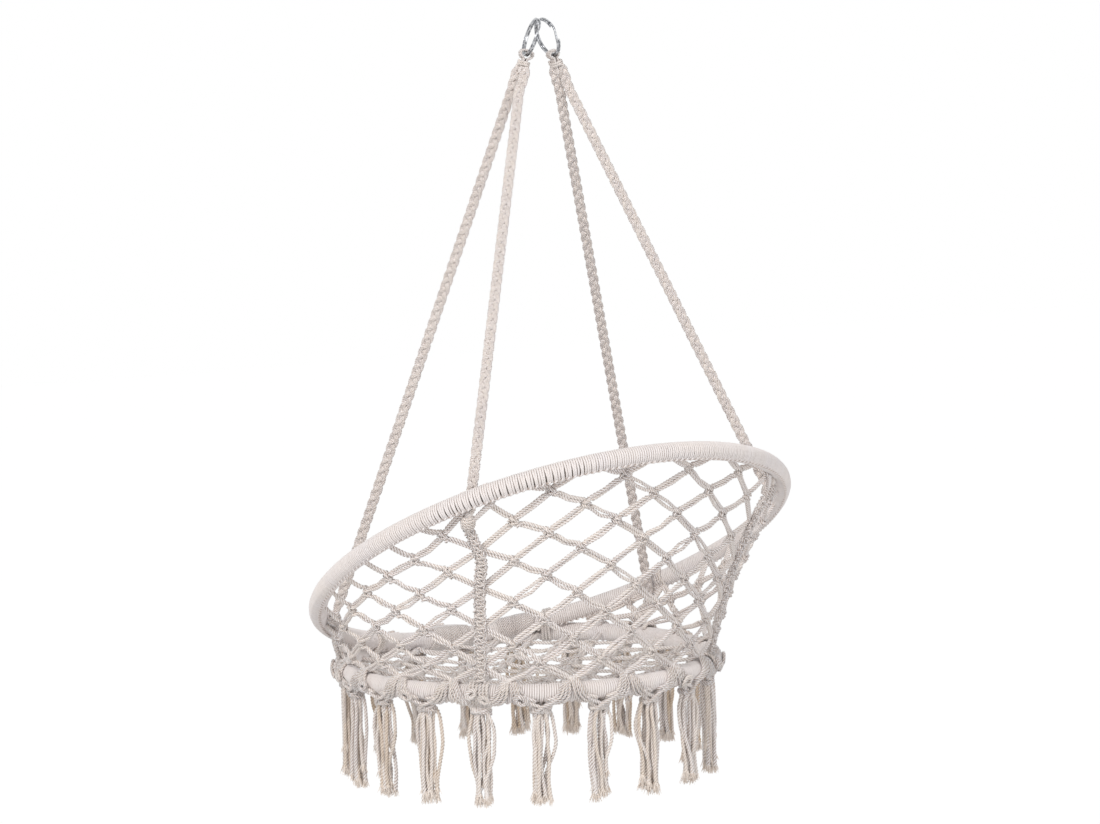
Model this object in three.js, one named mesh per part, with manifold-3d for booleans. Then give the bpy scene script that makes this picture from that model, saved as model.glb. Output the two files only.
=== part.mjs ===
// Macrame hammock chair that hangs on one hook: two split rings, four plaited ropes, two steel hoops
// wound with cotton cord, knotted side and seat nets, and twenty tassels.
// Millimetres, +Z up, the open front towards -Y. The origin is the point on the hook that the rings bear on.
import * as THREE from "three";
import { mergeVertices } from "three/addons/utils/BufferGeometryUtils.js";
import Module from "manifold-3d";

const wasm = await Module();
wasm.setup();

// Driving dimensions, in millimetres and degrees
const gap = 0.3; // clearance between pieces that touch
const hoopTubeDiameter = 19;
const hoopTubeWall = 1.2;
const sleeveWall = 1.5; // of the sleeve inside the tube's two ends
const seamAngle = 90; // where each hoop's tube is joined, at the back
const frontStayAngle = -27; // round the hoops from the sitter's left, towards the back
const rearStayAngle = 45;
const wrapThickness = 4.7; // one layer of cord and the line of half hitches
const upperHoopDiameter = 785; // over the cord
const upperHoopTilt = 30.6; // back edge high
const upperHoopRise = 189.2; // centre above the centre of the seat hoop
const hoopContactGap = 0.25; // between the hoops where the upper one's front leans on the inside of the seat hoop
const seatHoopDiameter = 609; // over the cord
const seatHoopTilt = 1.8; // back edge high
const hookHeight = 1017; // hook above the centre of the seat hoop
const hookBack = 56.6; // hook behind the centre of the seat hoop
const ringDiameter = 62;
const ringWireRadial = 3.5;
const ringWireAxial = 2.9;
const ringTurnGap = 0.5; // between the two turns of a split ring
const ringTopGap = 1.8; // between the two rings where they hang on the hook
const ringLean = 20; // each ring leans out with its pair of ropes
const leftRingTwist = 15; // the left ring hangs turned about its own long axis
const loopThickness = 4; // cords folded over a ring
const loopWidth = 16;
const loopRoom = 9; // half of the space that the ring's wire has in the loop
const loopCrownGap = 1; // between the top of the ring's wire and the fold over it
const loopLegLength = 35; // from the ring's wire to the ends of the folded cords
const whippingCordDiameter = 4.4;
const whippingTurnGap = 0.7;
const ropeDiameter = 16;
const ropePassGap = 4.5; // between a rope and the upper hoop where it passes inside it
const ropeKnotDiameter = 24;
const stayWidth = 18; // flat plait from the upper hoop down to the seat hoop
const stayThickness = 9;
const netCordWidth = 9;
const netCordThickness = 7;
const firstKnotHeight = 25; // lowest side knots above the seat hoop's centreline
const seatMeshPitch = 76; // diagonal of one mesh of the seat net
const seatSag = 18; // of the middle of the empty seat net, below its rim
const tasselLength = 166; // below the seat hoop's centreline
const tasselKnotDiameter = 23;
const tasselEndWidth = 34;
const saddleWidth = 16; // tassel cords where they pass round the seat hoop
const saddleThickness = 5;
const lashingCordDiameter = 6;
const lashingTurnGap = 0.6;
const lashingSlack = 1.6; // between the lashing and the hoops' own cord

// Counts
const hoopSteps = 40; // one facet is half the spacing of the net's columns
const searchSteps = 180; // places tried round half a hoop to find where the two are nearest
const hoopSides = 8;
const boreSides = 6;
const ringSteps = 45;
const columnsPerTurn = 40; // net columns, knots on odd and even ones in turn
const whippingTurns = 4;
const lashingTurns = 3;
const windingSteps = 24;
const cordSides = 6;
const ropeSides = 8;
const ropeSteps = 14;

// Sizes worked out from the driving dimensions
const tubeRadius = hoopTubeDiameter / 2;
const wrapInnerRadius = tubeRadius + gap;
const wrapRadius = wrapInnerRadius + wrapThickness;
const upperRadius = upperHoopDiameter / 2 - wrapRadius;
const seatRadius = seatHoopDiameter / 2 - wrapRadius;
const ropeRadius = ropeDiameter / 2;
const knotRadius = ropeKnotDiameter / 2;
const columnAngle = 360 / columnsPerTurn;
const up = new THREE.Vector3(0, 0, 1);
const hook = new THREE.Vector3(0, hookBack, hookHeight);

const radians = THREE.MathUtils.degToRad;
const vector = (x, y, z) => new THREE.Vector3(x, y, z);
const along = (point, direction, distance) => point.clone().addScaledVector(direction, distance);
const towards = (from, to) => to.clone().sub(from).normalize();
const across = (direction, axis) => along(direction, axis, -direction.dot(axis)).normalize();
const slant = (a, b) => Math.sqrt(1 - a.dot(b) ** 2); // sine of the angle between two directions

const materials = {
  steel: { color: 0xb9bcc0, roughness: 0.25, metalness: 1 },
  tube: { color: 0x9a9c9e, roughness: 0.45, metalness: 0.9 },
  cord: { color: 0xe2d8cd, roughness: 0.95, metalness: 0 },
};

// A hoop: a circle of the given radius, turned about X by its tilt.
class Hoop {
  constructor(radius, tilt, centre) {
    this.radius = radius;
    this.matrix = new THREE.Matrix4().makeRotationX(radians(tilt)).setPosition(centre);
    this.turn = new THREE.Euler(radians(tilt), 0, 0);
    this.centre = centre;
    this.normal = up.clone().transformDirection(this.matrix);
  }
  point(angle) {
    const a = radians(angle);
    return vector(this.radius * Math.cos(a), this.radius * Math.sin(a), 0).applyMatrix4(this.matrix);
  }
  tangent(angle) {
    const a = radians(angle);
    return vector(-Math.sin(a), Math.cos(a), 0).transformDirection(this.matrix);
  }
  angleNear(point) {
    const local = point.clone().applyMatrix4(this.matrix.clone().invert());
    return THREE.MathUtils.radToDeg(Math.atan2(local.y, local.x));
  }
  // Where the hoop passes, near an angle, at a distance from a point along a direction.
  crossing(angle, point, direction, distance) {
    const tries = 5;
    for (let i = 0; i < tries; i++) {
      const miss = distance - this.point(angle).sub(point).dot(direction);
      angle += THREE.MathUtils.radToDeg(miss / (this.radius * this.tangent(angle).dot(direction)));
    }
    return this.point(angle);
  }
  outward(angle) {
    const a = radians(angle);
    return vector(Math.cos(a), Math.sin(a), 0).transformDirection(this.matrix);
  }
}
const seatHoop = new Hoop(seatRadius, seatHoopTilt, vector(0, 0, 0));

// The least distance between the centrelines of two hoops, over their front halves.
function leastApart(hoop, other) {
  const apart = Array.from({ length: searchSteps }, (_, i) => {
    const point = hoop.point((-180 * i) / searchSteps);
    return other.point(other.angleNear(point)).distanceTo(point);
  });
  return Math.min(...apart);
}

// The upper hoop's front lies inside the seat hoop, as far back as lets the two only touch.
function upperHoopTouching(seat) {
  const at = (back) => new Hoop(upperRadius, upperHoopTilt, vector(0, back, upperHoopRise));
  let tooFar = upperRadius * Math.cos(radians(upperHoopTilt)) - seatRadius;
  let clear = tooFar + seatRadius;
  const halvings = 24;
  for (let i = 0; i < halvings; i++) {
    const back = (tooFar + clear) / 2;
    if (leastApart(seat, at(back)) < 2 * wrapRadius + hoopContactGap) tooFar = back;
    else clear = back;
  }
  return at(clear);
}
const upperHoop = upperHoopTouching(seatHoop);

// Closed surfaces built point by point

function geometryOf(points, faces) {
  const geometry = new THREE.BufferGeometry();
  geometry.setAttribute("position", new THREE.Float32BufferAttribute(points.flatMap((p) => p.toArray()), 3));
  geometry.setIndex(faces.flat());
  return geometry;
}

// A skin over sections that all have the same number of points, with flat ends.
function loft(sections) {
  const count = sections[0].length;
  const points = sections.flat();
  const faces = [];
  for (let s = 0; s + 1 < sections.length; s++)
    for (let i = 0; i < count; i++) {
      const a = s * count + i;
      const b = s * count + ((i + 1) % count);
      faces.push([a, b, b + count], [a, b + count, a + count]);
    }
  const last = (sections.length - 1) * count;
  for (let i = 1; i + 1 < count; i++) faces.push([0, i + 1, i], [last, last + i, last + i + 1]);
  return geometryOf(points, faces);
}

// An oval section about a point, spanned by two directions.
function ovalSection(centre, first, second, firstHalf, secondHalf, sides) {
  return Array.from({ length: sides }, (_, i) => {
    const a = (2 * Math.PI * i) / sides;
    return along(along(centre, first, firstHalf * Math.cos(a)), second, secondHalf * Math.sin(a));
  });
}

// A round cord along points, its section carried forward without twist.
function cordAlong(points, radius, sides) {
  let side = null;
  return loft(
    points.map((point, i) => {
      const before = points[Math.max(i - 1, 0)];
      const after = points[Math.min(i + 1, points.length - 1)];
      const direction = towards(before, after);
      side = across(side ?? (Math.abs(direction.z) < 0.9 ? up : vector(1, 0, 0)), direction);
      return ovalSection(point, side, direction.clone().cross(side), radius, radius, sides);
    }),
  );
}

// The least space between stretches of one cord that are at least apartSteps from each other.
function leastGap(points, apartSteps, thickness) {
  let least = Infinity;
  for (let i = 0; i < points.length; i++)
    for (let j = i + apartSteps; j + 1 < points.length; j++) {
      const nearest = new THREE.Line3(points[j], points[j + 1]).closestPointToPoint(points[i], true, vector());
      least = Math.min(least, nearest.distanceTo(points[i]));
    }
  return least - thickness;
}

// A closed mesh as a solid, faces turned outwards, and back again

function solidOf(geometry) {
  const bare = new THREE.BufferGeometry();
  const source = geometry.index ? geometry.toNonIndexed() : geometry;
  bare.setAttribute("position", source.getAttribute("position").clone());
  const merged = mergeVertices(bare);
  const build = (faces) =>
    new wasm.Manifold(
      new wasm.Mesh({ numProp: 3, vertProperties: merged.attributes.position.array, triVerts: faces }),
    );
  const faces = new Uint32Array(merged.index.array);
  const solid = build(faces);
  if (solid.volume() > 0) return solid;
  for (let i = 0; i < faces.length; i += 3) [faces[i + 1], faces[i + 2]] = [faces[i + 2], faces[i + 1]];
  return build(faces);
}

function geometryFrom(solid) {
  const mesh = solid.getMesh();
  const geometry = new THREE.BufferGeometry();
  geometry.setAttribute("position", new THREE.Float32BufferAttribute(mesh.vertProperties, 3));
  geometry.setIndex(new THREE.Uint32BufferAttribute(mesh.triVerts, 1));
  return geometry;
}

const chair = new THREE.Group();
chair.position.copy(hook).negate();

function addPiece(name, geometry, material, parent = chair) {
  const outward = geometryFrom(solidOf(geometry));
  outward.computeVertexNormals();
  const mesh = new THREE.Mesh(outward, new THREE.MeshStandardMaterial(materials[material]));
  mesh.name = name;
  parent.add(mesh);
  return mesh;
}

// Hoops: a bent steel tube, the sleeve that joins its ends, and the cord wound over it

class HoopArc extends THREE.Curve {
  constructor(radius, startAngle, endAngle) {
    super();
    Object.assign(this, { radius, startAngle, endAngle });
  }
  getPoint(t, target = vector()) {
    const a = radians(THREE.MathUtils.lerp(this.startAngle, this.endAngle, t));
    return target.set(this.radius * Math.cos(a), this.radius * Math.sin(a), 0);
  }
  getSpacedPoints(divisions) {
    return Array.from({ length: divisions + 1 }, (_, i) => this.getPoint(i / divisions));
  }
  getPointAt(t, target) {
    return this.getPoint(t, target);
  }
}

function polygonShape(radius, sides) {
  const corner = (i) => {
    const a = (2 * Math.PI * i) / sides;
    return new THREE.Vector2(radius * Math.cos(a), radius * Math.sin(a));
  };
  return Array.from({ length: sides }, (_, i) => corner(i));
}

function hoopShell(hoop, startAngle, endAngle, steps, outerRadius, outerSides, innerRadius, innerSides) {
  const shape = new THREE.Shape(polygonShape(outerRadius, outerSides));
  if (innerRadius) shape.holes.push(new THREE.Path(polygonShape(innerRadius, innerSides).reverse()));
  const extrudePath = new HoopArc(hoop.radius, startAngle, endAngle);
  return new THREE.ExtrudeGeometry(shape, { steps, extrudePath });
}

// The tube's ends, the sleeve in them and the end of the cord are at the back.
function addHoop(prefix, hoop) {
  const group = new THREE.Group();
  group.position.copy(hoop.centre);
  group.rotation.copy(hoop.turn);
  chair.add(group);
  const slit = THREE.MathUtils.radToDeg(gap / hoop.radius);
  const start = seamAngle + slit;
  const end = seamAngle + 360 - slit;
  const boreRadius = tubeRadius - hoopTubeWall;
  const tube = hoopShell(hoop, start, end, hoopSteps, tubeRadius, boreSides, boreRadius, boreSides);
  addPiece(prefix + "_tube", tube, "tube", group);
  const sleeveRadius = boreRadius - gap;
  const sleeve = hoopShell(
    hoop, seamAngle - columnAngle, seamAngle + columnAngle, 2,
    sleeveRadius, boreSides, sleeveRadius - sleeveWall, boreSides,
  );
  addPiece(prefix + "_sleeve", sleeve, "steel", group);
  const wrap = hoopShell(hoop, start, end, hoopSteps, wrapRadius, hoopSides, wrapInnerRadius, boreSides);
  addPiece(prefix + "_wrap", wrap, "cord", group);
}
addHoop("upper_hoop", upperHoop);
addHoop("seat_hoop", seatHoop);

// What the nets must stay clear of: each hoop's wrap with the gap round it
const hoopRoom = [upperHoop, seatHoop].map((hoop) => {
  const ring = new THREE.TorusGeometry(hoop.radius, wrapRadius + gap, hoopSides, hoopSteps);
  return solidOf(ring.applyMatrix4(hoop.matrix));
});

// Front lashings: where the upper hoop's front edge lies against the inside of the seat hoop

const lashingPitch = lashingCordDiameter + lashingTurnGap;
const lashingReach = wrapRadius + lashingSlack + lashingCordDiameter / 2; // of the cord's middle from a hoop's centreline
const nearestOnUpper = (point) => upperHoop.point(upperHoop.angleNear(point));
const spaceToUpper = (angle) => seatHoop.point(angle).distanceTo(nearestOnUpper(seatHoop.point(angle)));
const contactAngle = Array.from({ length: searchSteps / 2 }, (_, i) => (180 * i) / searchSteps - 90).reduce(
  (best, angle) => (spaceToUpper(angle) < spaceToUpper(best) ? angle : best),
);

// Loops laid round both hoops at a contact: the point at a distance along it, a number of steps round.
function loopsRound(angle, reach) {
  const contact = seatHoop.point(angle);
  const upperAngle = upperHoop.angleNear(contact);
  const lengthways = seatHoop.tangent(angle).add(upperHoop.tangent(upperAngle)).normalize();
  const perHalf = windingSteps / 2 - 1;
  return (distance, steps) => {
    const low = seatHoop.crossing(angle, contact, lengthways, distance);
    const high = upperHoop.crossing(upperAngle, contact, lengthways, distance);
    const apart = towards(low, high);
    const third = lengthways.clone().cross(apart);
    const step = steps % windingSteps;
    const onHigh = step <= perHalf;
    const turn = (Math.PI * (onHigh ? step : step - 1)) / perHalf;
    return along(along(onHigh ? high : low, third, reach * Math.cos(turn)), apart, reach * Math.sin(turn));
  };
}

const lashingRoom = [];
for (const [name, angle] of [["lashing_left", contactAngle], ["lashing_right", -180 - contactAngle]]) {
  const cordPoint = loopsRound(angle, lashingReach);
  const steps = lashingTurns * windingSteps;
  const halfLength = (lashingTurns * lashingPitch) / 2;
  const points = Array.from({ length: steps + 1 }, (_, i) =>
    cordPoint((i * lashingPitch) / windingSteps - halfLength, i),
  );
  const free = leastGap(points, windingSteps / 2, lashingCordDiameter);
  console.log(name, "least gap to itself", free.toFixed(2), "mm");
  addPiece(name, cordAlong(points, lashingCordDiameter / 2, cordSides), "cord");
  const roomPoint = loopsRound(angle, lashingReach + lashingCordDiameter / 2 + 2 * gap);
  const sections = [-1, -0.6, -0.2, 0.2, 0.6, 1].map((share) =>
    Array.from({ length: windingSteps }, (_, i) => roomPoint(share * (halfLength + lashingPitch), i)),
  );
  lashingRoom.push(solidOf(loft(sections)));
}

// Split rings: two turns of flat wire that touch all but for a hair, with a step where they change over

const ringMeanRadius = (ringDiameter - ringWireRadial) / 2;
const turnOffset = (ringWireAxial + ringTurnGap) / 2;
const ringHalfThickness = turnOffset + ringWireAxial / 2;
const stepHalfAngle = 22.5; // half of the stretch where one turn changes over into the other
const stepPlace = 75; // from the top of the ring, clear of the hook and of the rope loop
const lean = radians(ringLean);
const ringTopOffset =
  ringHalfThickness * Math.cos(lean) + (ringWireRadial / 2) * Math.sin(lean) + ringTopGap / 2;

function ringFrame(side, twist) {
  const down = vector(side * Math.sin(lean), 0, -Math.cos(lean));
  const flat = vector(Math.cos(lean), 0, side * Math.sin(lean));
  const t = radians(twist);
  const axis = flat.clone().multiplyScalar(Math.cos(t)).addScaledVector(vector(0, 1, 0), -Math.sin(t));
  const along1 = vector(0, 1, 0).multiplyScalar(Math.cos(t)).addScaledVector(flat, Math.sin(t));
  const top = hook.clone().add(vector(side * ringTopOffset, 0, (ringWireRadial / 2) * Math.cos(lean)));
  return { side, down, axis, wire: along1, centre: along(top, down, ringMeanRadius) };
}

function addRing(name, frame) {
  const halfWidth = ringWireRadial / 2;
  const halfDepth = ringWireAxial / 2;
  const cut = Math.min(halfWidth, halfDepth) / 2;
  const corners = [
    [halfWidth, halfDepth - cut],
    [halfWidth - cut, halfDepth],
    [cut - halfWidth, halfDepth],
    [-halfWidth, halfDepth - cut],
    [-halfWidth, cut - halfDepth],
    [cut - halfWidth, -halfDepth],
    [halfWidth - cut, -halfDepth],
    [halfWidth, cut - halfDepth],
  ];
  const first = stepHalfAngle;
  const last = 720 - stepHalfAngle;
  const centres = [];
  const sections = [];
  for (let i = 0; i <= ringSteps; i++) {
    const angle = THREE.MathUtils.lerp(first, last, i / ringSteps);
    const step = THREE.MathUtils.clamp((angle - 360) / stepHalfAngle, -1, 1);
    const a = radians(angle + stepPlace);
    const out = frame.down.clone().multiplyScalar(-Math.cos(a)).addScaledVector(frame.wire, Math.sin(a));
    const centre = along(along(frame.centre, out, ringMeanRadius), frame.axis, turnOffset * step);
    centres.push(centre);
    sections.push(corners.map(([x, y]) => along(along(centre, out, x), frame.axis, y)));
  }
  console.log(name, "least gap to itself", leastGap(centres, Math.floor(ringSteps / 4), ringWireAxial).toFixed(2), "mm");
  addPiece(name, loft(sections), "steel");
}
const leftRing = ringFrame(1, leftRingTwist);
const rightRing = ringFrame(-1, 0);
addRing("ring_left", leftRing);
addRing("ring_right", rightRing);

// Rope loops: the cords of a pair of ropes folded over the ring's wire, bound below it by a whipping

const ringInnerRadius = ringMeanRadius - ringWireRadial / 2;
const ringSag = ringInnerRadius - Math.sqrt(ringInnerRadius ** 2 - (loopWidth / 2) ** 2);
const loopTop = ringWireRadial / 2 + ringSag + loopCrownGap; // inside of the fold above the wire's centre
const whippingPitch = whippingCordDiameter + whippingTurnGap;
const whippingTop = loopLegLength - whippingPitch * whippingTurns - whippingCordDiameter;
const legInset = loopThickness; // centre of a leg from the middle of the loop
const shoulderShare = 0.5; // where the fold starts to narrow, as a share of the way to the whipping

function addLoop(name, frame) {
  const wideHalf = loopRoom + loopThickness / 2;
  const crown = loopTop + loopThickness / 2;
  const crownShare = 0.7; // how far out the crown starts to turn down
  const half = [
    [legInset, -loopLegLength],
    [legInset, -whippingTop],
    [wideHalf, -whippingTop * shoulderShare],
    [wideHalf, 0],
    [wideHalf * crownShare, crown],
  ];
  const middle = [...half.map(([x, y]) => [-x, y]), ...half.reverse()].map(([x, y]) => new THREE.Vector2(x, y));
  const sideOf = (sign) =>
    middle.map((p, i) => {
      const before = middle[Math.max(i - 1, 0)];
      const after = middle[Math.min(i + 1, middle.length - 1)];
      const into = p.clone().sub(before).normalize();
      const outOf = after.clone().sub(p).normalize();
      const way = into.clone().add(outOf).normalize();
      const normal = new THREE.Vector2(-way.y, way.x);
      const slant = into.lengthSq() && outOf.lengthSq() ? normal.dot(new THREE.Vector2(-outOf.y, outOf.x)) : 1;
      return p.clone().addScaledVector(normal, (sign * loopThickness) / 2 / slant);
    });
  const shape = new THREE.Shape([...sideOf(1), ...sideOf(-1).reverse()]);
  const geometry = new THREE.ExtrudeGeometry(shape, { depth: loopWidth, bevelEnabled: false });
  geometry.translate(0, 0, -loopWidth / 2);
  const wire = along(frame.centre, frame.down, ringMeanRadius);
  const upwards = frame.down.clone().negate();
  const depthWay = frame.axis.clone().cross(upwards);
  const place = new THREE.Matrix4().makeBasis(frame.axis, upwards, depthWay).setPosition(wire);
  addPiece(name, geometry.applyMatrix4(place), "cord");
  return { wire, axis: frame.axis, upwards, depthWay };
}

// One cord wound round a rectangle with round corners, loop after loop, as points.
function windingPoints(place, halfWidth, halfDepth, clearance, firstHeight, turns, pitch) {
  const corners = [
    [halfWidth, halfDepth],
    [-halfWidth, halfDepth],
    [-halfWidth, -halfDepth],
    [halfWidth, -halfDepth],
  ];
  const perCorner = windingSteps / corners.length;
  const points = [];
  for (let i = 0; i <= turns * windingSteps; i++) {
    const corner = Math.floor(i / perCorner) % corners.length;
    const [x, y] = corners[corner];
    const a = (Math.PI / 2) * (corner + (i % perCorner) / (perCorner - 1));
    const height = firstHeight - (pitch * i) / windingSteps;
    const point = along(place.wire, place.axis, x + clearance * Math.cos(a));
    point.addScaledVector(place.depthWay, y + clearance * Math.sin(a));
    points.push(point.addScaledVector(place.upwards, height));
  }
  return points;
}

function addWhipping(name, place) {
  const clearance = gap + whippingCordDiameter / 2;
  const halfWidth = legInset + loopThickness / 2;
  const firstHeight = -whippingTop - whippingCordDiameter / 2;
  const points = windingPoints(
    place, halfWidth, loopWidth / 2, clearance, firstHeight, whippingTurns, whippingPitch,
  );
  const free = leastGap(points, windingSteps / 2, whippingCordDiameter);
  console.log(name, "least gap to itself", free.toFixed(2), "mm");
  addPiece(name, cordAlong(points, whippingCordDiameter / 2, cordSides), "cord");
}

const leftLoop = addLoop("loop_left", leftRing);
const rightLoop = addLoop("loop_right", rightRing);
addWhipping("whipping_left", leftLoop);
addWhipping("whipping_right", rightLoop);

// Ropes and stays: each rope runs inside the upper hoop to its knot, and goes on as a flat stay to the seat hoop

const ropePassDistance = wrapRadius + ropeRadius + ropePassGap; // between the centrelines of a rope and the hoop
const knotDistance = wrapRadius + gap + knotRadius;
const ropeStraight = 1.5 * ropeDiameter; // runs straight out of the loop before it bends
const saddleOuterRadius = wrapRadius + gap + saddleThickness;
const frontColumn = Math.round(frontStayAngle / columnAngle);
const rearColumn = Math.round(rearStayAngle / columnAngle);
const quarters = [
  { name: "front_left", column: frontColumn, loop: leftLoop, way: -1 },
  { name: "rear_left", column: rearColumn, loop: leftLoop, way: 1 },
  { name: "front_right", column: columnsPerTurn / 2 - frontColumn, loop: rightLoop, way: -1 },
  { name: "rear_right", column: columnsPerTurn / 2 - rearColumn, loop: rightLoop, way: 1 },
];
const knotRoom = [];

for (const { name, column, loop, way } of quarters) {
  const angle = column * columnAngle;
  const onUpper = upperHoop.point(angle);
  const onSeat = seatHoop.point(angle);
  const tangent = upperHoop.tangent(angle);
  const down = towards(onUpper, onSeat);
  const backwards = Math.sign(loop.depthWay.y) * way;
  const start = along(loop.wire, loop.upwards, -loopLegLength - gap);
  start.addScaledVector(loop.depthWay, backwards * (ropeRadius + gap));
  const bend = along(start, loop.upwards, -ropeStraight);
  const incoming = towards(bend, onUpper);
  const fold = across(incoming, tangent).angleTo(across(down, tangent));
  const clear = Math.max(knotDistance, ropePassDistance / Math.sin(fold));
  const knotCentre = along(onUpper, down, clear / slant(down, tangent));
  const arriving = towards(bend, knotCentre);
  const end = along(knotCentre, arriving, -knotRadius - gap);
  const path = new THREE.CatmullRomCurve3(
    [start, along(start, loop.upwards, -ropeStraight / 2), bend, along(bend, arriving, ropeStraight), end],
    false, "centripetal",
  );
  const round = new THREE.Shape(polygonShape(ropeRadius, ropeSides));
  addPiece("rope_" + name, new THREE.ExtrudeGeometry(round, { steps: ropeSteps, extrudePath: path }), "cord");

  const poleTurn = new THREE.Quaternion().setFromUnitVectors(vector(0, 1, 0), arriving);
  const [ball, room] = [knotRadius, knotRadius + gap].map((radius) =>
    new THREE.SphereGeometry(radius, ropeSides, ropeSides - 2)
      .applyQuaternion(poleTurn)
      .translate(...knotCentre.toArray()),
  );
  addPiece("rope_knot_" + name, ball, "cord");
  knotRoom.push(solidOf(room));

  const stayStart = along(knotCentre, down, knotRadius + gap);
  const seatTangent = seatHoop.tangent(angle);
  const endTilt = Math.abs(down.dot(seatHoop.outward(angle)));
  const landing = saddleOuterRadius + gap + (stayThickness / 2) * endTilt;
  const stayEnd = along(onSeat, down, -landing / slant(seatTangent, down));
  const sections = [
    [stayStart, across(seatTangent, down), down, stayWidth],
    [stayEnd, seatTangent, down, stayWidth / slant(seatTangent, down)],
  ].map(([at, flat, direction, width]) => {
    const thick = direction.clone().cross(flat).normalize();
    return ovalSection(at, flat, thick, width / 2, stayThickness / 2, hoopSides);
  });
  addPiece("stay_" + name, loft(sections), "cord");
}

// Nets: a lattice of flat cords with a flat knot wherever they meet

// knots: [{ at, normal, links: Set }]; each link becomes one cord between two knots.
function latticeGeometry(knots) {
  const points = [];
  const faces = [];
  const mouths = knots.map((knot) => {
    const side = across(towards(knot.at, knots[[...knot.links][0]].at), knot.normal);
    const third = knot.normal.clone().cross(side);
    const arms = [...knot.links].map((other) => {
      const way = towards(knot.at, knots[other].at);
      return { other, angle: Math.atan2(way.dot(third), way.dot(side)) };
    });
    arms.sort((a, b) => a.angle - b.angle);
    const half = netCordWidth / 2;
    const cornerAt = (x, y) => {
      const flat = along(along(knot.at, side, x), third, y);
      points.push(along(flat, knot.normal, -netCordThickness / 2), along(flat, knot.normal, netCordThickness / 2));
      return points.length - 2;
    };
    if (arms.length === 1) {
      const left = cornerAt(0, half);
      const right = cornerAt(0, -half);
      faces.push([left, right, right + 1], [left, right + 1, left + 1]);
      return new Map([[arms[0].other, { left, right }]]);
    }
    const corners = arms.map((arm, i) => {
      const next = arms[(i + 1) % arms.length];
      const opening = (next.angle - arm.angle + 4 * Math.PI) % (2 * Math.PI);
      const middle = arm.angle + opening / 2;
      const reach = half / Math.sin(opening / 2);
      return cornerAt(reach * Math.cos(middle), reach * Math.sin(middle));
    });
    for (let i = 1; i + 1 < corners.length; i++) {
      faces.push([corners[0] + 1, corners[i] + 1, corners[i + 1] + 1]);
      faces.push([corners[0], corners[i + 1], corners[i]]);
    }
    return new Map(
      arms.map((arm, i) => [arm.other, { left: corners[i], right: corners.at(i - 1) }]),
    );
  });
  knots.forEach((knot, a) => {
    for (const b of knot.links) {
      if (b < a) continue;
      const here = mouths[a].get(b);
      const there = mouths[b].get(a);
      const quads = [
        [here.right + 1, there.left + 1, there.right + 1, here.left + 1],
        [here.left, there.right, there.left, here.right],
        [here.right, there.left, there.left + 1, here.right + 1],
        [there.right, here.left, here.left + 1, there.right + 1],
      ];
      for (const [p, q, r, s] of quads) faces.push([p, q, r], [p, r, s]);
    }
  });
  return geometryOf(points, faces);
}

// What is left of a net clear of what it is tied to, without the ends that come loose behind a hoop.
function cutClear(net, rooms) {
  const bodies = rooms.reduce((solid, room) => solid.subtract(room), net).simplify(gap / 3).decompose();
  return bodies.reduce((most, body) => (body.volume() > most.volume() ? body : most));
}

function link(knots, a, b) {
  knots[a].links.add(b);
  knots[b].links.add(a);
}

// How many half rows the side net has at each column, from its first one at the front to the rear stay.
const firstKnotColumn = -5;
const halfRowCounts = [3, 3.6, 4.3, 5, 5.9, 6.4, 7.2, 8.2, 9.1, 9.5, 10];
const rowStartShare = 0.3; // the first row's height, as a share of a row
const elbowShare = 0.79; // how far the corner of a bent cord stands out from its middle, in cord widths
const clearOfHoop = 2 * wrapRadius; // a knot nearer than this to the upper hoop is left to the hoop

function sideKnot(column, row) {
  const mirrored = column > columnsPerTurn / 4 ? columnsPerTurn / 2 - column : column;
  const rows = halfRowCounts[THREE.MathUtils.clamp(mirrored - firstKnotColumn, 0, halfRowCounts.length - 1)];
  const angle = column * columnAngle;
  const low = seatHoop.point(angle);
  const high = upperHoop.point(angle);
  const length = low.distanceTo(high);
  const share = (row + rowStartShare) / (rows + rowStartShare / 3);
  const height = Math.max(firstKnotHeight, length * share);
  return {
    fits: length - height > clearOfHoop,
    at: along(low, towards(low, high), height),
    normal: across(upperHoop.outward(angle), towards(low, high)),
    angle,
  };
}

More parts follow.
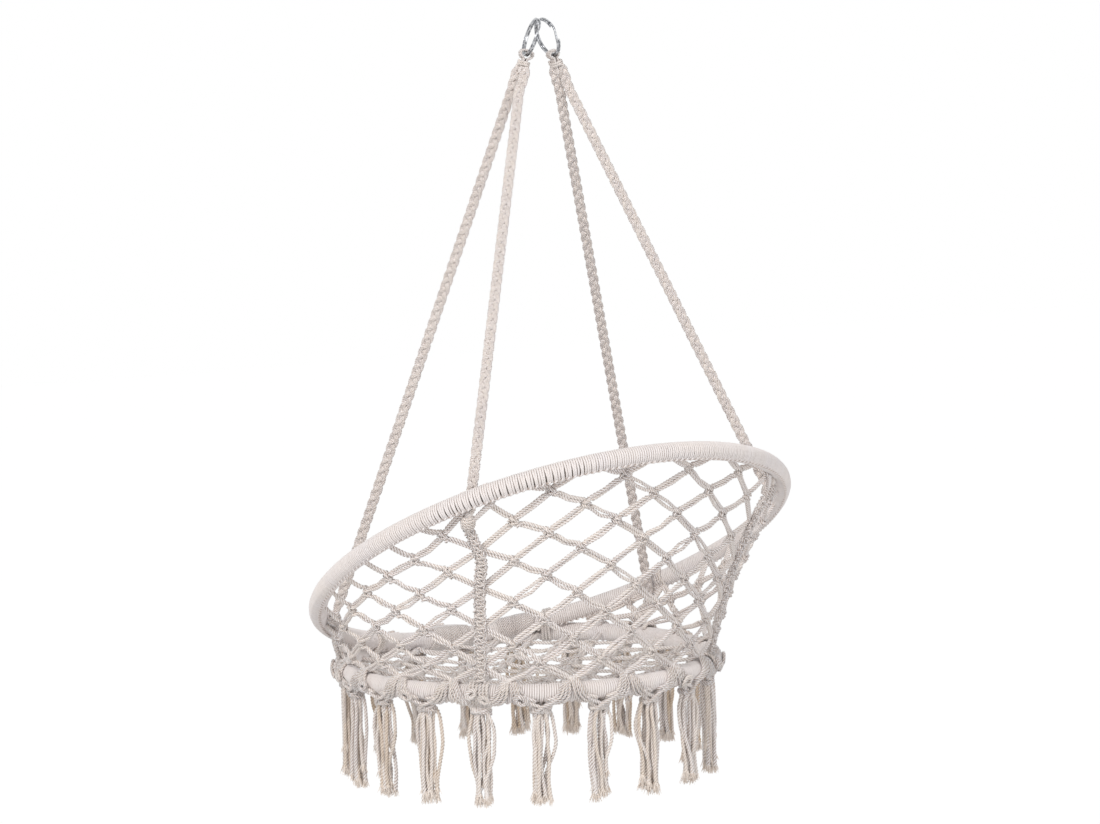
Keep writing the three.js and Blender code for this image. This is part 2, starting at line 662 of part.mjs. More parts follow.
// A panel of the side net between two columns; stayed ends stop beside a stay.
function sidePanel(firstColumn, lastColumn, firstStayed, lastStayed) {
  const knots = [];
  const index = new Map();
  const stayReach = stayWidth / 2 + gap + netCordWidth * elbowShare;
  const add = (key, at, normal) => {
    if (!index.has(key)) {
      index.set(key, knots.length);
      knots.push({ at, normal, links: new Set() });
    }
    return index.get(key);
  };
  const isOdd = (n) => Math.abs(n) % 2;
  const beside = (column, at) => {
    const angle = column * columnAngle;
    const tangent = seatHoop.tangent(angle);
    const reach = stayReach / slant(tangent, towards(seatHoop.point(angle), upperHoop.point(angle)));
    if (column === firstColumn && firstStayed) return along(at, tangent, reach);
    if (column === lastColumn && lastStayed) return along(at, tangent, -reach);
    return at;
  };
  const place = (column, row) => {
    if (column < firstColumn || column > lastColumn || row < 0) return null;
    const knot = sideKnot(column, row);
    return knot.fits ? add(column + "/" + row, beside(column, knot.at), knot.normal) : undefined;
  };
  const onHoop = (column, hoop, label) => {
    if (column < firstColumn || column > lastColumn) return null;
    const { angle, normal } = sideKnot(column, 0);
    return add(label + column, beside(column, hoop.point(angle)), normal);
  };
  for (let column = firstColumn; column <= lastColumn; column++)
    for (let row = isOdd(column); sideKnot(column, row).fits; row += 2) {
      const here = place(column, row);
      for (const next of [column - 1, column + 1]) {
        const above = place(next, row + 1) ?? (next in { [firstColumn - 1]: 0, [lastColumn + 1]: 0 } ? null : onHoop(next, upperHoop, "top"));
        if (above !== null) link(knots, here, above);
        if (row === 0) {
          const below = onHoop(next, seatHoop, "low");
          if (below !== null) link(knots, here, below);
        }
      }
    }
  return cutClear(solidOf(latticeGeometry(knots)), [...hoopRoom, ...knotRoom, ...lashingRoom]);
}

const half = columnsPerTurn / 2;
const panels = [
  ["net_front_left", firstKnotColumn, frontColumn, false, true],
  ["net_left", frontColumn, rearColumn, true, true],
  ["net_rear", rearColumn, half - rearColumn, true, true],
  ["net_right", half - rearColumn, half - frontColumn, true, true],
  ["net_front_right", half - frontColumn, half - firstKnotColumn, true, false],
];
for (const [name, ...span] of panels) {
  addPiece(name, geometryFrom(sidePanel(...span)), "cord");
}

// Seat net: one lattice of square meshes set corner to corner, stopped at the seat hoop. It sags a little.
function seatNet() {
  const knots = [];
  const index = new Map();
  const pitch = seatMeshPitch / 2;
  const reach = Math.ceil(seatRadius / pitch);
  const flatPoint = (i, j) => vector(i * pitch, j * pitch, 0);
  const inside = (p) => p.length() < seatRadius - clearOfHoop;
  const add = (key, flat) => {
    if (!index.has(key)) {
      index.set(key, knots.length);
      flat.z = -seatSag * (1 - flat.lengthSq() / seatRadius ** 2);
      knots.push({ at: flat.applyMatrix4(seatHoop.matrix), normal: seatHoop.normal, links: new Set() });
    }
    return index.get(key);
  };
  for (let i = -reach; i <= reach; i++)
    for (let j = -reach; j <= reach; j++) {
      const here = flatPoint(i, j);
      if ((i + j) % 2 || !inside(here)) continue;
      for (const [di, dj] of [[1, 1], [1, -1], [-1, 1], [-1, -1]]) {
        const there = flatPoint(i + di, j + dj);
        const a = add(i + "/" + j, here.clone());
        if (inside(there)) {
          link(knots, a, add(i + di + "/" + (j + dj), there));
          continue;
        }
        const way = there.clone().sub(here).normalize();
        const forward = here.dot(way);
        const distance = Math.sqrt(forward ** 2 + seatRadius ** 2 - here.lengthSq()) - forward;
        link(knots, a, add([i, j, di, dj].join("/"), along(here, way, distance)));
      }
    }
  return cutClear(solidOf(latticeGeometry(knots)), [...hoopRoom, ...lashingRoom]);
}
addPiece("seat_net", geometryFrom(seatNet()), "cord");

// Tassels: cords that come round the seat hoop, a knot under it, and the loose ends hanging down

const tasselEnd = -tasselLength;
const knotDrop = wrapRadius + gap + tasselKnotDiameter / 2;
const sideStep = 360 / hoopSides;
const kneeShare = 0.4; // how far out of the knot the cords come round the hoop
const neckShare = 0.72; // width of the bound neck, of the knot's
const bellyShare = 0.85; // width half way down, of the end's
const depthShare = 0.78; // a tassel is this much thinner than it is wide

function tassel(angle) {
  const centre = seatHoop.point(angle);
  const tangent = seatHoop.tangent(angle);
  const outward = seatHoop.outward(angle);
  const startAngle = spaceToUpper(angle) < 2 * wrapRadius + saddleThickness + 2 * saddleWidth / 2 ? sideStep : 2.5 * sideStep;
  const round = wrapRadius + gap + saddleThickness / 2;
  const place = (r, z) => along(along(centre, outward, r), seatHoop.normal, z);
  const onRound = (a) => {
    const whole = Math.floor(a / sideStep) * sideStep;
    const share = (a - whole) / sideStep;
    const at = (b) => [round * Math.cos(radians(b)), round * Math.sin(radians(b))];
    const [p, q] = [at(whole), at(whole + sideStep)];
    return [THREE.MathUtils.lerp(p[0], q[0], share), THREE.MathUtils.lerp(p[1], q[1], share)];
  };
  const stops = [];
  for (const a of [startAngle, 2 * sideStep, sideStep, 0, -sideStep]) {
    if (a > startAngle || (a === startAngle && stops.length)) continue;
    const [r, z] = onRound(a);
    const facing = radians(a === startAngle && a % sideStep ? 2.5 * sideStep : a);
    stops.push({ r, z, way: [Math.sin(facing), -Math.cos(facing)], wide: saddleWidth / 2, deep: saddleThickness / 2 });
  }
  const knotHalf = tasselKnotDiameter / 2;
  const endHalf = tasselEndWidth / 2;
  const down = [0, -1];
  stops.push(
    {
      r: knotHalf * kneeShare * 2, z: -knotDrop * 0.82, way: [-Math.SQRT1_2, -Math.SQRT1_2],
      wide: knotHalf * 0.9, deep: saddleThickness,
    },
    { r: 0, z: -knotDrop - knotHalf * 0.15, way: down, wide: knotHalf, deep: knotHalf * depthShare },
    { r: 0, z: -knotDrop - knotHalf, way: down, wide: knotHalf * neckShare, deep: knotHalf * neckShare * depthShare },
    { r: 0, z: -knotDrop - 2.2 * knotHalf, way: down, wide: endHalf * 0.8, deep: endHalf * 0.8 * depthShare },
    { r: 0, z: tasselEnd, way: down, wide: endHalf, deep: endHalf * depthShare },
  );
  return loft(
    stops.map(({ r, z, way, wide, deep }) => {
      const direction = outward.clone().multiplyScalar(way[0]).addScaledVector(seatHoop.normal, way[1]);
      const second = direction.clone().cross(tangent);
      return ovalSection(place(r, z), tangent, second, wide, deep, cordSides);
    }),
  );
}
for (let i = 1; i <= half; i++) {
  const angle = (2 * i - 1) * columnAngle;
  addPiece("tassel_" + String(i).padStart(2, "0"), tassel(angle), "cord");
}

export default chair;
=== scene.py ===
import math

import bmesh
import bpy
import numpy as np
from mathutils import Matrix


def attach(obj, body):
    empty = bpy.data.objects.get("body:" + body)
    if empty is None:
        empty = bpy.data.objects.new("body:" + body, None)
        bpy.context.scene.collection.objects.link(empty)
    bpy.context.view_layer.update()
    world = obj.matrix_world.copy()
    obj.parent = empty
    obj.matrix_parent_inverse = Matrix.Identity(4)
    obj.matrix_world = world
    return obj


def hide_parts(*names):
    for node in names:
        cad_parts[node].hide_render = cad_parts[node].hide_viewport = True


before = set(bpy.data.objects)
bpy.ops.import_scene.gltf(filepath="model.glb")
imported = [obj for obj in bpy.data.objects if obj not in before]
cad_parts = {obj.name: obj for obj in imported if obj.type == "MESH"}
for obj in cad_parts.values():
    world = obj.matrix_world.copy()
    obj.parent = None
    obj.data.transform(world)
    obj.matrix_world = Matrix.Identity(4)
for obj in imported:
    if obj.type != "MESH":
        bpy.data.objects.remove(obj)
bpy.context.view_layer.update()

# Camera
# The chair is seen from behind its left side, from a little above the seat, through a long lens.
mm = 0.001
seat_centre = np.array([0, -56.6, -1017]) * mm
camera_turn = math.radians(149.027)
camera_rise = math.radians(7.331)
camera_roll = math.radians(-0.618)
camera_distance = 5536.557 * mm
lens_on_full_frame = 114.496
aim_aside = 39.411 * mm
aim_height = 399.844 * mm
view_back = np.array([
    math.sin(camera_turn) * math.cos(camera_rise),
    -math.cos(camera_turn) * math.cos(camera_rise),
    math.sin(camera_rise),
])
view_right = np.array([math.cos(camera_turn), math.sin(camera_turn), 0])
view_up = np.cross(view_back, view_right)
eye = seat_centre + view_right * aim_aside + np.array([0, 0, aim_height]) + view_back * camera_distance


def swung(first, second, angle):
    """A direction at an angle from one direction towards another."""
    return first * math.cos(angle) + second * math.sin(angle)


def linked(name, data):
    """A new object in the scene."""
    piece = bpy.data.objects.new(name, data)
    bpy.context.collection.objects.link(piece)
    return piece


def placed_axes(right, up, back, place):
    """The matrix of a camera or a lamp from its three directions and its place."""
    axes = Matrix([right, up, back]).transposed().to_4x4()
    axes.translation = place
    return axes


camera = linked("camera", bpy.data.cameras.new("camera"))
camera.data.sensor_width = 36
camera.data.sensor_fit = "HORIZONTAL"
camera.data.lens = lens_on_full_frame
camera.data.clip_end = 60
camera.matrix_world = placed_axes(
    swung(view_right, view_up, camera_roll), swung(view_up, -view_right, camera_roll), view_back, eye
)
bpy.context.scene.camera = camera
bpy.context.scene.view_settings.view_transform = "Standard"


# Studio
# A pale floor well below the tassels, a white surround, one large soft lamp by the camera's left
# shoulder and a weaker one from the other side.
def operator(operation, swapped=False):
    """An operator of Value. Swapped is for a plain number on the left."""
    def method(self, other):
        pair = (other, self) if swapped else (self, other)
        return self.maths(operation, *pair)
    return method


def socket_called(sockets, name):
    """A socket of a node by its identifier, or else by its name or number."""
    for socket in sockets:
        if socket.identifier == name:
            return socket
    return sockets[name]


class Value:
    """An output of a node, and by name its other outputs. Sums written with it add Math nodes."""

    def __init__(self, nodes, node, name=0):
        self.nodes = nodes
        self.node = node
        self.socket = socket_called(node.outputs, name) if len(node.outputs) else None

    def __getitem__(self, name):
        return Value(self.nodes, self.node, name)

    def maths(self, operation, *others):
        return self.nodes.add("ShaderNodeMath", others, operation=operation)

    def cosine(self):
        return self.maths("COSINE", self)

    def sine(self):
        return self.maths("SINE", self)

    def held(self):
        """Kept between 0 and 1."""
        return self.maths("MINIMUM", self.maths("MAXIMUM", self, 0), 1)

    __add__ = operator("ADD")
    __radd__ = operator("ADD", swapped=True)
    __sub__ = operator("SUBTRACT")
    __rsub__ = operator("SUBTRACT", swapped=True)
    __mul__ = operator("MULTIPLY")
    __truediv__ = operator("DIVIDE")
    __pow__ = operator("POWER")


class Nodes:
    """A node tree that nodes are added to."""

    def __init__(self, tree):
        self.tree = tree

    def add(self, kind, inputs=(), **settings):
        """A new node, as its first output."""
        node = self.tree.nodes.new(kind)
        for name, setting in settings.items():
            setattr(node, name, setting)
        for name, value in inputs.items() if isinstance(inputs, dict) else enumerate(inputs):
            socket = socket_called(node.inputs, name)
            if isinstance(value, Value):
                self.tree.links.new(value.socket, socket)
            else:
                socket.default_value = value
        return Value(self, node)

    def blend(self, share, first, second):
        """A colour between two, by a share from 0 to 1."""
        inputs = {"Factor_Float": share, "A_Color": first, "B_Color": second}
        return self.add("ShaderNodeMix", inputs, data_type="RGBA")["Result_Color"]

    def noise(self, place, scale, detail=2, roughness=0.5):
        inputs = {"Vector": place, "Scale": scale, "Detail": detail, "Roughness": roughness}
        return self.add("ShaderNodeTexNoise", inputs)

    def attribute(self, name, output="Fac"):
        return self.add("ShaderNodeAttribute", attribute_name=name)[output]

    def vector(self, *parts):
        return self.add("ShaderNodeCombineXYZ", parts)

    def parts(self, vector):
        made = self.add("ShaderNodeSeparateXYZ", [vector])
        return made["X"], made["Y"], made["Z"]

    def bump(self, height, strength, distance):
        inputs = {"Height": height, "Strength": strength, "Distance": distance}
        return self.add("ShaderNodeBump", inputs)

    def principled(self, inputs):
        """The one shader of a material."""
        shader = self.add("ShaderNodeBsdfPrincipled", inputs)
        self.add("ShaderNodeOutputMaterial", {"Surface": shader})


def new_material(name):
    """A material, its nodes and the place on the object that is shaded."""
    material = bpy.data.materials.new(name)
    material.use_nodes = True
    material.node_tree.nodes.clear()
    nodes = Nodes(material.node_tree)
    return material, nodes, nodes.add("ShaderNodeTexCoord")["Object"]


def seen_directly(nodes):
    """1 for the camera's own rays and for what glossy and clear surfaces show."""
    path = nodes.add("ShaderNodeLightPath")
    return (path["Is Camera Ray"] + path["Is Glossy Ray"] + path["Is Transmission Ray"]).held()


def unit(vector):
    return vector / np.linalg.norm(vector)


def lamp(name, place, size, power, colour):
    """A round lamp that faces the chair."""
    light = linked(name, bpy.data.lights.new(name, "AREA"))
    light.data.shape = "DISK"
    light.data.size = size
    light.data.energy = power
    light.data.color = colour
    back = unit(place - lit_place)
    side = unit(np.cross([0, 0, 1], back))
    light.matrix_world = placed_axes(side, np.cross(back, side), back, place)


surround_white = (1, 1, 1, 1)
surround_light = 0.6
lit_place = np.array([0, 0, -0.75])
world = bpy.data.worlds.new("studio surround")
bpy.context.scene.world = world
world.use_nodes = True
world.node_tree.nodes.clear()
nodes = Nodes(world.node_tree)
seen = seen_directly(nodes)
surround = nodes.add("ShaderNodeBackground", {
    "Color": surround_white, "Strength": seen + (1 - seen) * surround_light,
})
nodes.add("ShaderNodeOutputWorld", {"Surface": surround})

for name, way_share, rise, aside, size, power, colour in (
    ("key lamp", 0.62, 1.9, -1.7, 1.6, 88, (1, 0.985, 0.965)),
    ("fill lamp", 0.55, 0.2, 2.6, 2.2, 26, (0.97, 0.98, 1)),
):
    lamp(name, eye * way_share + np.array([0, 0, rise]) + view_right * aside, size, power, colour)

floor_height = -1.66
floor_half = 9.0
floor_glow = 1.1
floor_glow_share = 0.84
floor_signs = ((-1, -1), (1, -1), (1, 1), (-1, 1))
floor_corners = [(x * floor_half, y * floor_half, floor_height) for x, y in floor_signs]
floor_mesh = bpy.data.meshes.new("floor")
floor_mesh.from_pydata(floor_corners, [], [(0, 1, 2, 3)])
floor = linked("floor", floor_mesh)
floor_paint, nodes, _ = new_material("pale floor")
matt = nodes.add("ShaderNodeBsdfDiffuse", {"Color": (0.8, 0.8, 0.8, 1)})
glow = nodes.add("ShaderNodeEmission", {"Color": surround_white, "Strength": floor_glow})
mixed = nodes.add("ShaderNodeMixShader", [seen_directly(nodes) * floor_glow_share, matt, glow])
nodes.add("ShaderNodeOutputMaterial", {"Surface": mixed})
floor_mesh.materials.append(floor_paint)

# Steel hoop tubes and their sleeves
# Two thin-walled steel tubes bent to circles, each closed over a short sleeve at the back. The cord hides
# them all but for hairlines between its turns.
tube_steel, nodes, place = new_material("hoop tube steel")
scuffs = nodes.noise(place, 60, 4)
nodes.principled({
    "Base Color": nodes.blend(scuffs, (0.33, 0.30, 0.27, 1), (0.48, 0.46, 0.43, 1)),
    "Metallic": 1,
    "Roughness": 0.38 + scuffs * 0.25,
    "Normal": nodes.bump(nodes.noise(place, 900), 0.2, 0.2 * mm),
})
for name in ("upper_hoop_tube", "upper_hoop_sleeve", "seat_hoop_tube", "seat_hoop_sleeve"):
    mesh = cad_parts[name].data
    mesh.materials.clear()
    mesh.materials.append(tube_steel)

# Split rings
# Two rings of bright plated flat wire, each coiled twice with a step where one turn passes to the other.
# Both hang on the hook side by side, and each leans out with its pair of ropes.
ring_mean_radius = 29.25 * mm
ring_wire_radial = 3.5 * mm
ring_wire_axial = 2.7 * mm
ring_turn_offset = 1.75 * mm
ring_lean = math.radians(20)
ring_step_half = 22.5
ring_step_place = 75
ring_top_offset = 4.458 * mm
ring_sections = 220
wire_sides = 14


def ring_frame(side, twist):
    """A ring's centre, its lowest place, where the rope loop hangs, and its directions."""
    up = np.array([-side * math.sin(ring_lean), 0, math.cos(ring_lean)])
    flat = np.array([math.cos(ring_lean), 0, side * math.sin(ring_lean)])
    level = np.array([0, 1, 0])
    turn = math.radians(twist)
    axis, along = swung(flat, -level, turn), swung(level, flat, turn)
    top = np.array([side * ring_top_offset, 0, ring_wire_radial / 2 * math.cos(ring_lean)])
    centre = top - up * ring_mean_radius
    return {
        "up": up, "axis": axis, "along": along, "depth": np.cross(axis, up),
        "centre": centre, "bottom": centre - up * ring_mean_radius,
    }


def squared(share):
    """A sine or cosine drawn towards a square, for flat wire with round edges."""
    return math.copysign(abs(share) ** 0.62, share)


def skinned(name, sections, material):
    """A closed skin over sections that all have the same number of points."""
    count = len(sections[0])
    last = (len(sections) - 1) * count
    faces = [tuple(reversed(range(count))), tuple(range(last, last + count))]
    for first in range(0, last, count):
        for i in range(count):
            a, b = first + i, first + (i + 1) % count
            faces.append((a, b, b + count, a + count))
    mesh = bpy.data.meshes.new(name)
    mesh.from_pydata([tuple(point) for section in sections for point in section], [], faces)
    shell = bmesh.new()
    shell.from_mesh(mesh)
    bmesh.ops.recalc_face_normals(shell, faces=shell.faces)
    shell.to_mesh(mesh)
    shell.free()
    mesh.materials.append(material)
    mesh.polygons.foreach_set("use_smooth", [True] * len(mesh.polygons))
    return linked(name, mesh)


chrome, nodes, place = new_material("bright plated wire")
# patches of near black and bright grey in the base colour: painted dark and bright reflections on the chrome;
# the same noise also varies the roughness
painted_reflection_patches = nodes.noise(place, 220, 5, 0.6)
drawn = nodes.add("ShaderNodeMapping", {"Vector": place, "Scale": (400, 400, 4000)})
nodes.principled({
    "Base Color": nodes.blend(((painted_reflection_patches - 0.5) * 5 + 0.5).held(), (0.16, 0.165, 0.18, 1), (0.62, 0.63, 0.65, 1)),
    "Metallic": 1,
    "Roughness": 0.14 + painted_reflection_patches * 0.14,
    "Normal": nodes.bump(nodes.noise(drawn, 1), 0.12, 0.1 * mm),
})

rings = {"left": ring_frame(1, 15), "right": ring_frame(-1, 0)}
for side_name, ring in rings.items():
    sections = []
    for i in range(ring_sections + 1):
        angle = ring_step_half + (720 - 2 * ring_step_half) * i / ring_sections
        step = math.sin(max(-1, min(1, (angle - 360) / ring_step_half)) * math.pi / 2)
        a = math.radians(angle + ring_step_place)
        outwards = swung(ring["up"], ring["along"], a)
        middle = ring["centre"] + outwards * ring_mean_radius + ring["axis"] * ring_turn_offset * step
        section = []
        for k in range(wire_sides):
            b = 2 * math.pi * k / wire_sides
            wide = squared(math.cos(b)) * ring_wire_radial / 2
            deep = squared(math.sin(b)) * ring_wire_axial / 2
            section.append(middle + outwards * wide + ring["axis"] * deep)
        sections.append(section)
    piece = skinned("split_ring_" + side_name, sections, chrome)
    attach(piece, "rings")
    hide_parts("ring_" + side_name)

# Rope loops
# The cords of each pair of ropes are folded side by side over a ring's wire. Everything soft on the chair
# is this natural cotton cord, three plies laid to the right.
plies = 3
lay_share = 3.0  # length of one full turn of the plies, in cord diameters
spacing_share = 1 / 6  # length between two sections of a cord, in turns of the plies
cord_sides = 6
random = np.random.default_rng(11)
socket_kinds = {int: "NodeSocketInt", float: "NodeSocketFloat", tuple: "NodeSocketVector"}


def new_tree(name, defaults):
    """A tree of geometry nodes that takes geometry, a value for each default, and a material."""
    tree = bpy.data.node_groups.new(name, "GeometryNodeTree")
    tree.interface.new_socket("Geometry", in_out="OUTPUT", socket_type="NodeSocketGeometry")
    tree.interface.new_socket("Geometry", in_out="INPUT", socket_type="NodeSocketGeometry")
    for label, default in defaults.items():
        socket = tree.interface.new_socket(label, in_out="INPUT", socket_type=socket_kinds[type(default)])
        socket.default_value = default
    tree.interface.new_socket("Material", in_out="INPUT", socket_type="NodeSocketMaterial")
    nodes = Nodes(tree)
    return tree, nodes, nodes.add("NodeGroupInput")


def stored(nodes, geometry, name, value, data_type="FLOAT", domain="POINT"):
    """The geometry with a named attribute."""
    inputs = {"Geometry": geometry, "Name": name, "Value": value}
    return nodes.add("GeometryNodeStoreNamedAttribute", inputs, data_type=data_type, domain=domain)


def end_tree(nodes, geometry, material):
    real = nodes.add("GeometryNodeRealizeInstances", {"Geometry": geometry})
    coated = nodes.add("GeometryNodeSetMaterial", {"Geometry": real, "Material": material})
    nodes.add("NodeGroupOutput", {"Geometry": coated})


# a cord of laid plies along every line of points that it is given
cord_tree, nodes, given = new_tree("laid cord", {
    "Diameter": 0.005, "Lay": 0.012, "Spacing": 0.002, "Ply depth": 0.14, "Sides": 6,
})
lines = nodes.add("GeometryNodeMeshToCurve", {"Mesh": given["Geometry"]})
curved = nodes.add("GeometryNodeCurveSplineType", {"Curve": lines}, spline_type="CATMULL_ROM")
spacing = {"Curve": curved, "Length": given["Spacing"]}
spaced = nodes.add("GeometryNodeResampleCurve", spacing, mode="LENGTH")
reached = nodes.add("GeometryNodeSplineParameter")["Length"]
tilt = reached * (2 * math.pi) / given["Lay"]
turned = nodes.add("GeometryNodeSetCurveTilt", {"Curve": spaced, "Tilt": tilt})
marked = stored(nodes, turned, "along", reached)
circle = nodes.add("GeometryNodeCurvePrimitiveCircle", {"Resolution": given["Sides"], "Radius": 1.0})
spot = nodes.add("GeometryNodeInputPosition")
labelled = stored(nodes, circle, "section", spot, "FLOAT_VECTOR")
corner = nodes.add("GeometryNodeInputIndex")
swell = 1 + (corner * (2 * math.pi * plies) / given["Sides"]).cosine() * given["Ply depth"]
scaled = nodes.add("ShaderNodeVectorMath", {"Vector": spot, "Scale": swell}, operation="SCALE")
lobed = nodes.add("GeometryNodeSetPosition", {"Geometry": labelled, "Position": scaled})
girth = nodes.add("GeometryNodeInputNamedAttribute", {"Name": "girth"}, data_type="FLOAT")
swept = nodes.add("GeometryNodeCurveToMesh", {
    "Curve": marked, "Profile Curve": lobed, "Scale": girth * given["Diameter"] * 0.5, "Fill Caps": True,
})
smoothed = nodes.add("GeometryNodeSetShadeSmooth", {"Geometry": swept})
end_tree(nodes, smoothed, given["Material"])


def times(colour, *shares):
    """A colour with its red, green and blue multiplied."""
    return (*(part * share for part, share in zip(colour, shares)), 1)


def cotton(name, pale, groove_shade, wound=False):
    """Natural cotton, with painted shade between a cord's plies, and on a hoop between the turns."""
    material, nodes, place = new_material(name)
    x, y, _ = nodes.parts(nodes.attribute("section", "Vector"))
    tone = nodes.attribute("tone")
    ply = (x.maths("ARCTAN2", y, x) * plies).cosine() * 0.5 + 0.5
    fuzz = nodes.noise(place, 1500, 3, 0.65)
    fibres = nodes.noise(nodes.vector(x * 5, y * 5, nodes.attribute("along") * 260), 1, 3)
    patches = nodes.noise(place, 26)
    flecks = nodes.noise(place, 420, 1)
    # depth runs from painted shade (0) to the plain colour (1): low in the grooves between plies, and on a
    # wound cord low towards the tube between turns
    if wound:
        depth = nodes.attribute("crest") * 1.15 + ply * 0.12 + (fuzz - 0.5) * 0.4
    else:
        depth = ply * 1.4 + 0.22 + (fuzz - 0.5) * 0.6
    # cords with a tone above 1 turn browner: random per cord, and on the tassels partly painted shade, most
    # on those facing away from the camera
    browning_and_painted_shade = ((tone - 1) * (0.5 + patches)).held()
    warmth = (tone * 0.7 + (patches - 0.5) * 1.2).held() * 0.55 * (1 - browning_and_painted_shade)
    coolness = ((patches - 0.55) * 3).held() * 0.4
    speckling = ((flecks - 0.66) * 12).held() * 0.35
    colour = nodes.blend(browning_and_painted_shade * 0.85, pale, times(pale, 0.8, 0.65, 0.45))
    # painted shade in the grooves between plies and between turns
    colour = nodes.blend(depth.held(), groove_shade, colour)
    colour = nodes.blend(warmth, colour, times(pale, 0.985, 0.93, 0.83))
    colour = nodes.blend(coolness, colour, times(pale, 0.95, 0.965, 0.985))
    colour = nodes.blend(speckling, colour, times(pale, 0.62, 0.54, 0.44))
    height = ply * (0.15 if wound else 0.4) + fuzz * 0.45 + fibres * 0.45
    nodes.principled({
        "Base Color": colour,
        "Roughness": 0.86 + (fuzz - 0.5) * 0.15,
        "Normal": nodes.bump(height, 0.75, 0.5 * mm),
        "Sheen Weight": 0.12,
        "Sheen Roughness": 0.6,
        "Specular IOR Level": 0.15,
    })
    return material


# the second colour is the painted shade in the grooves between plies
natural_cotton = cotton("natural cotton cord", (0.935, 0.893, 0.89, 1), (0.36, 0.25, 0.18, 1))


def with_tree(piece, tree, settings):
    """A piece made into the plain mesh that a tree of geometry nodes gives."""
    modifier = piece.modifiers.new(tree.name, "NODES")
    modifier.node_group = tree
    for item in tree.interface.items_tree:
        if item.in_out == "INPUT" and item.name in settings:
            modifier[item.identifier] = settings[item.name]
    evaluated = piece.evaluated_get(bpy.context.evaluated_depsgraph_get())
    plain = bpy.data.meshes.new_from_object(evaluated)
    piece.modifiers.remove(modifier)
    piece.data = plain
    plain.name = piece.name
    material = settings["Material"]
    if material.name not in [m.name for m in plain.materials if m]:
        plain.materials.append(material)


def lay_cords(name, routes, diameter, replaced=(), ply_depth=0.19):
    """Cords along routes. A route is its points, or its points, a girth at each and its highest tone.

    Each cord has a tone of its own, and one above 1 is browner. On the tassels this browning is random per
    cord and partly painted shade, highest on those facing away from the camera."""
    points, edges, tones, girths = [], [], [], []
    for route in routes:
        line, girth, most_tone = route if isinstance(route, tuple) else (route, [1] * len(route), 1)
        first = len(points)
        points.extend(tuple(point) for point in line)
        edges.extend((i, i + 1) for i in range(first, len(points) - 1))
        tones.extend([random.random() * most_tone] * len(line))
        girths.extend(girth)
    mesh = bpy.data.meshes.new(name)
    mesh.from_pydata(points, edges, [])
    mesh.attributes.new("tone", "FLOAT", "POINT").data.foreach_set("value", tones)
    mesh.attributes.new("girth", "FLOAT", "POINT").data.foreach_set("value", girths)
    piece = linked(name, mesh)
    lay = diameter * lay_share
    with_tree(piece, cord_tree, {
        "Diameter": diameter, "Lay": lay, "Spacing": lay * spacing_share, "Ply depth": ply_depth,
        "Sides": cord_sides, "Material": natural_cotton,
    })
    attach(piece, "chair")
    if replaced:
        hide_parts(*replaced)


loop_cord = 3.6 * mm
loop_cord_pitch = 3.3 * mm
loop_cord_count = 4
# Half of a loop's outline, aside and up from the wire. The left ring is turned a little, so its loop
# needs more room to slide round it.
loop_outlines = {
    "left": ((3.2, -30), (2.9, -10), (2.5, -5.6), (6.8, -3.8), (9.8, 0.4), (9.4, 4.8), (5, 7), (0, 7.1)),
    "right": ((3.2, -30), (2.9, -10), (2.5, -5.2), (6.2, -3.4), (8.2, 0.2), (7.4, 4.2), (3.8, 5.7), (0, 5.9)),
}
for side_name, ring in rings.items():
    half = np.array(loop_outlines[side_name]) * mm
    whole = [*half, *[(-x, y) for x, y in reversed(half[:-1])]]
    routes = []
    for i in range(loop_cord_count):
        start = ring["bottom"] + ring["depth"] * (i - (loop_cord_count - 1) / 2) * loop_cord_pitch
        routes.append([start + ring["axis"] * x + ring["up"] * y for x, y in whole])
    lay_cords("loop_cords_" + side_name, routes, loop_cord, replaced=["loop_" + side_name])

# Whippings
# Below each ring one cord is wound twice round the folded cords, just above the heads of the two ropes.
whipping_cord = 3.9 * mm
whipping_turns = 2
whipping_pitch = 3.5 * mm
whipping_top = 8.0 * mm
whipping_reach = 3.6 * mm
whipping_half_width = 3.4 * mm
whipping_half_depth = 5.8 * mm
corner_steps = 6
turn_steps = 4 * corner_steps
for side_name, ring in rings.items():
    line = []
    for i in range(whipping_turns * turn_steps + 1):
        corner = i // corner_steps % 4
        x, y = ((1, 1), (-1, 1), (-1, -1), (1, -1))[corner]
        a = math.pi / 2 * (corner + i % corner_steps / (corner_steps - 1))
        height = -whipping_top - whipping_cord / 2 - whipping_pitch * i / turn_steps
        bend = ring["axis"] * x * whipping_half_width + ring["depth"] * y * whipping_half_depth
        around = swung(ring["axis"], ring["depth"], a) * whipping_reach
        line.append(ring["bottom"] + bend + around + ring["up"] * height)
    lay_cords("whipping_cord_" + side_name, [line], whipping_cord, replaced=["whipping_" + side_name])


# Plaited ropes
# Four flat plaits of three strands, each strand three thin cords side by side. They run from the whippings
# down to a knot inside the upper hoop, and carry the whole chair.
class Hoop:
    """A circle along the middle of a hoop's tube. Its angles run from the sitter's left to the back."""

    def __init__(self, radius, tilt, centre):
        self.radius = radius
        self.tilt = math.radians(tilt)
        self.centre = centre
        self.rearward = np.array([0, math.cos(self.tilt), math.sin(self.tilt)])
        self.normal = np.array([0, -math.sin(self.tilt), math.cos(self.tilt)])

    def outward(self, angle):
        return swung(np.array([1, 0, 0]), self.rearward, math.radians(angle))

    def tangent(self, angle):
        return self.outward(angle + 90)

    def point(self, angle):
        return self.centre + self.outward(angle) * self.radius

    def round_tube(self, angle, aside, turn, reach):
        """A place on a circle round the tube: turn is 0 outside the hoop and 90 on its top."""
        shifted = angle + math.degrees(aside / self.radius)
        return self.point(shifted) + swung(self.outward(shifted), self.normal, math.radians(turn)) * reach


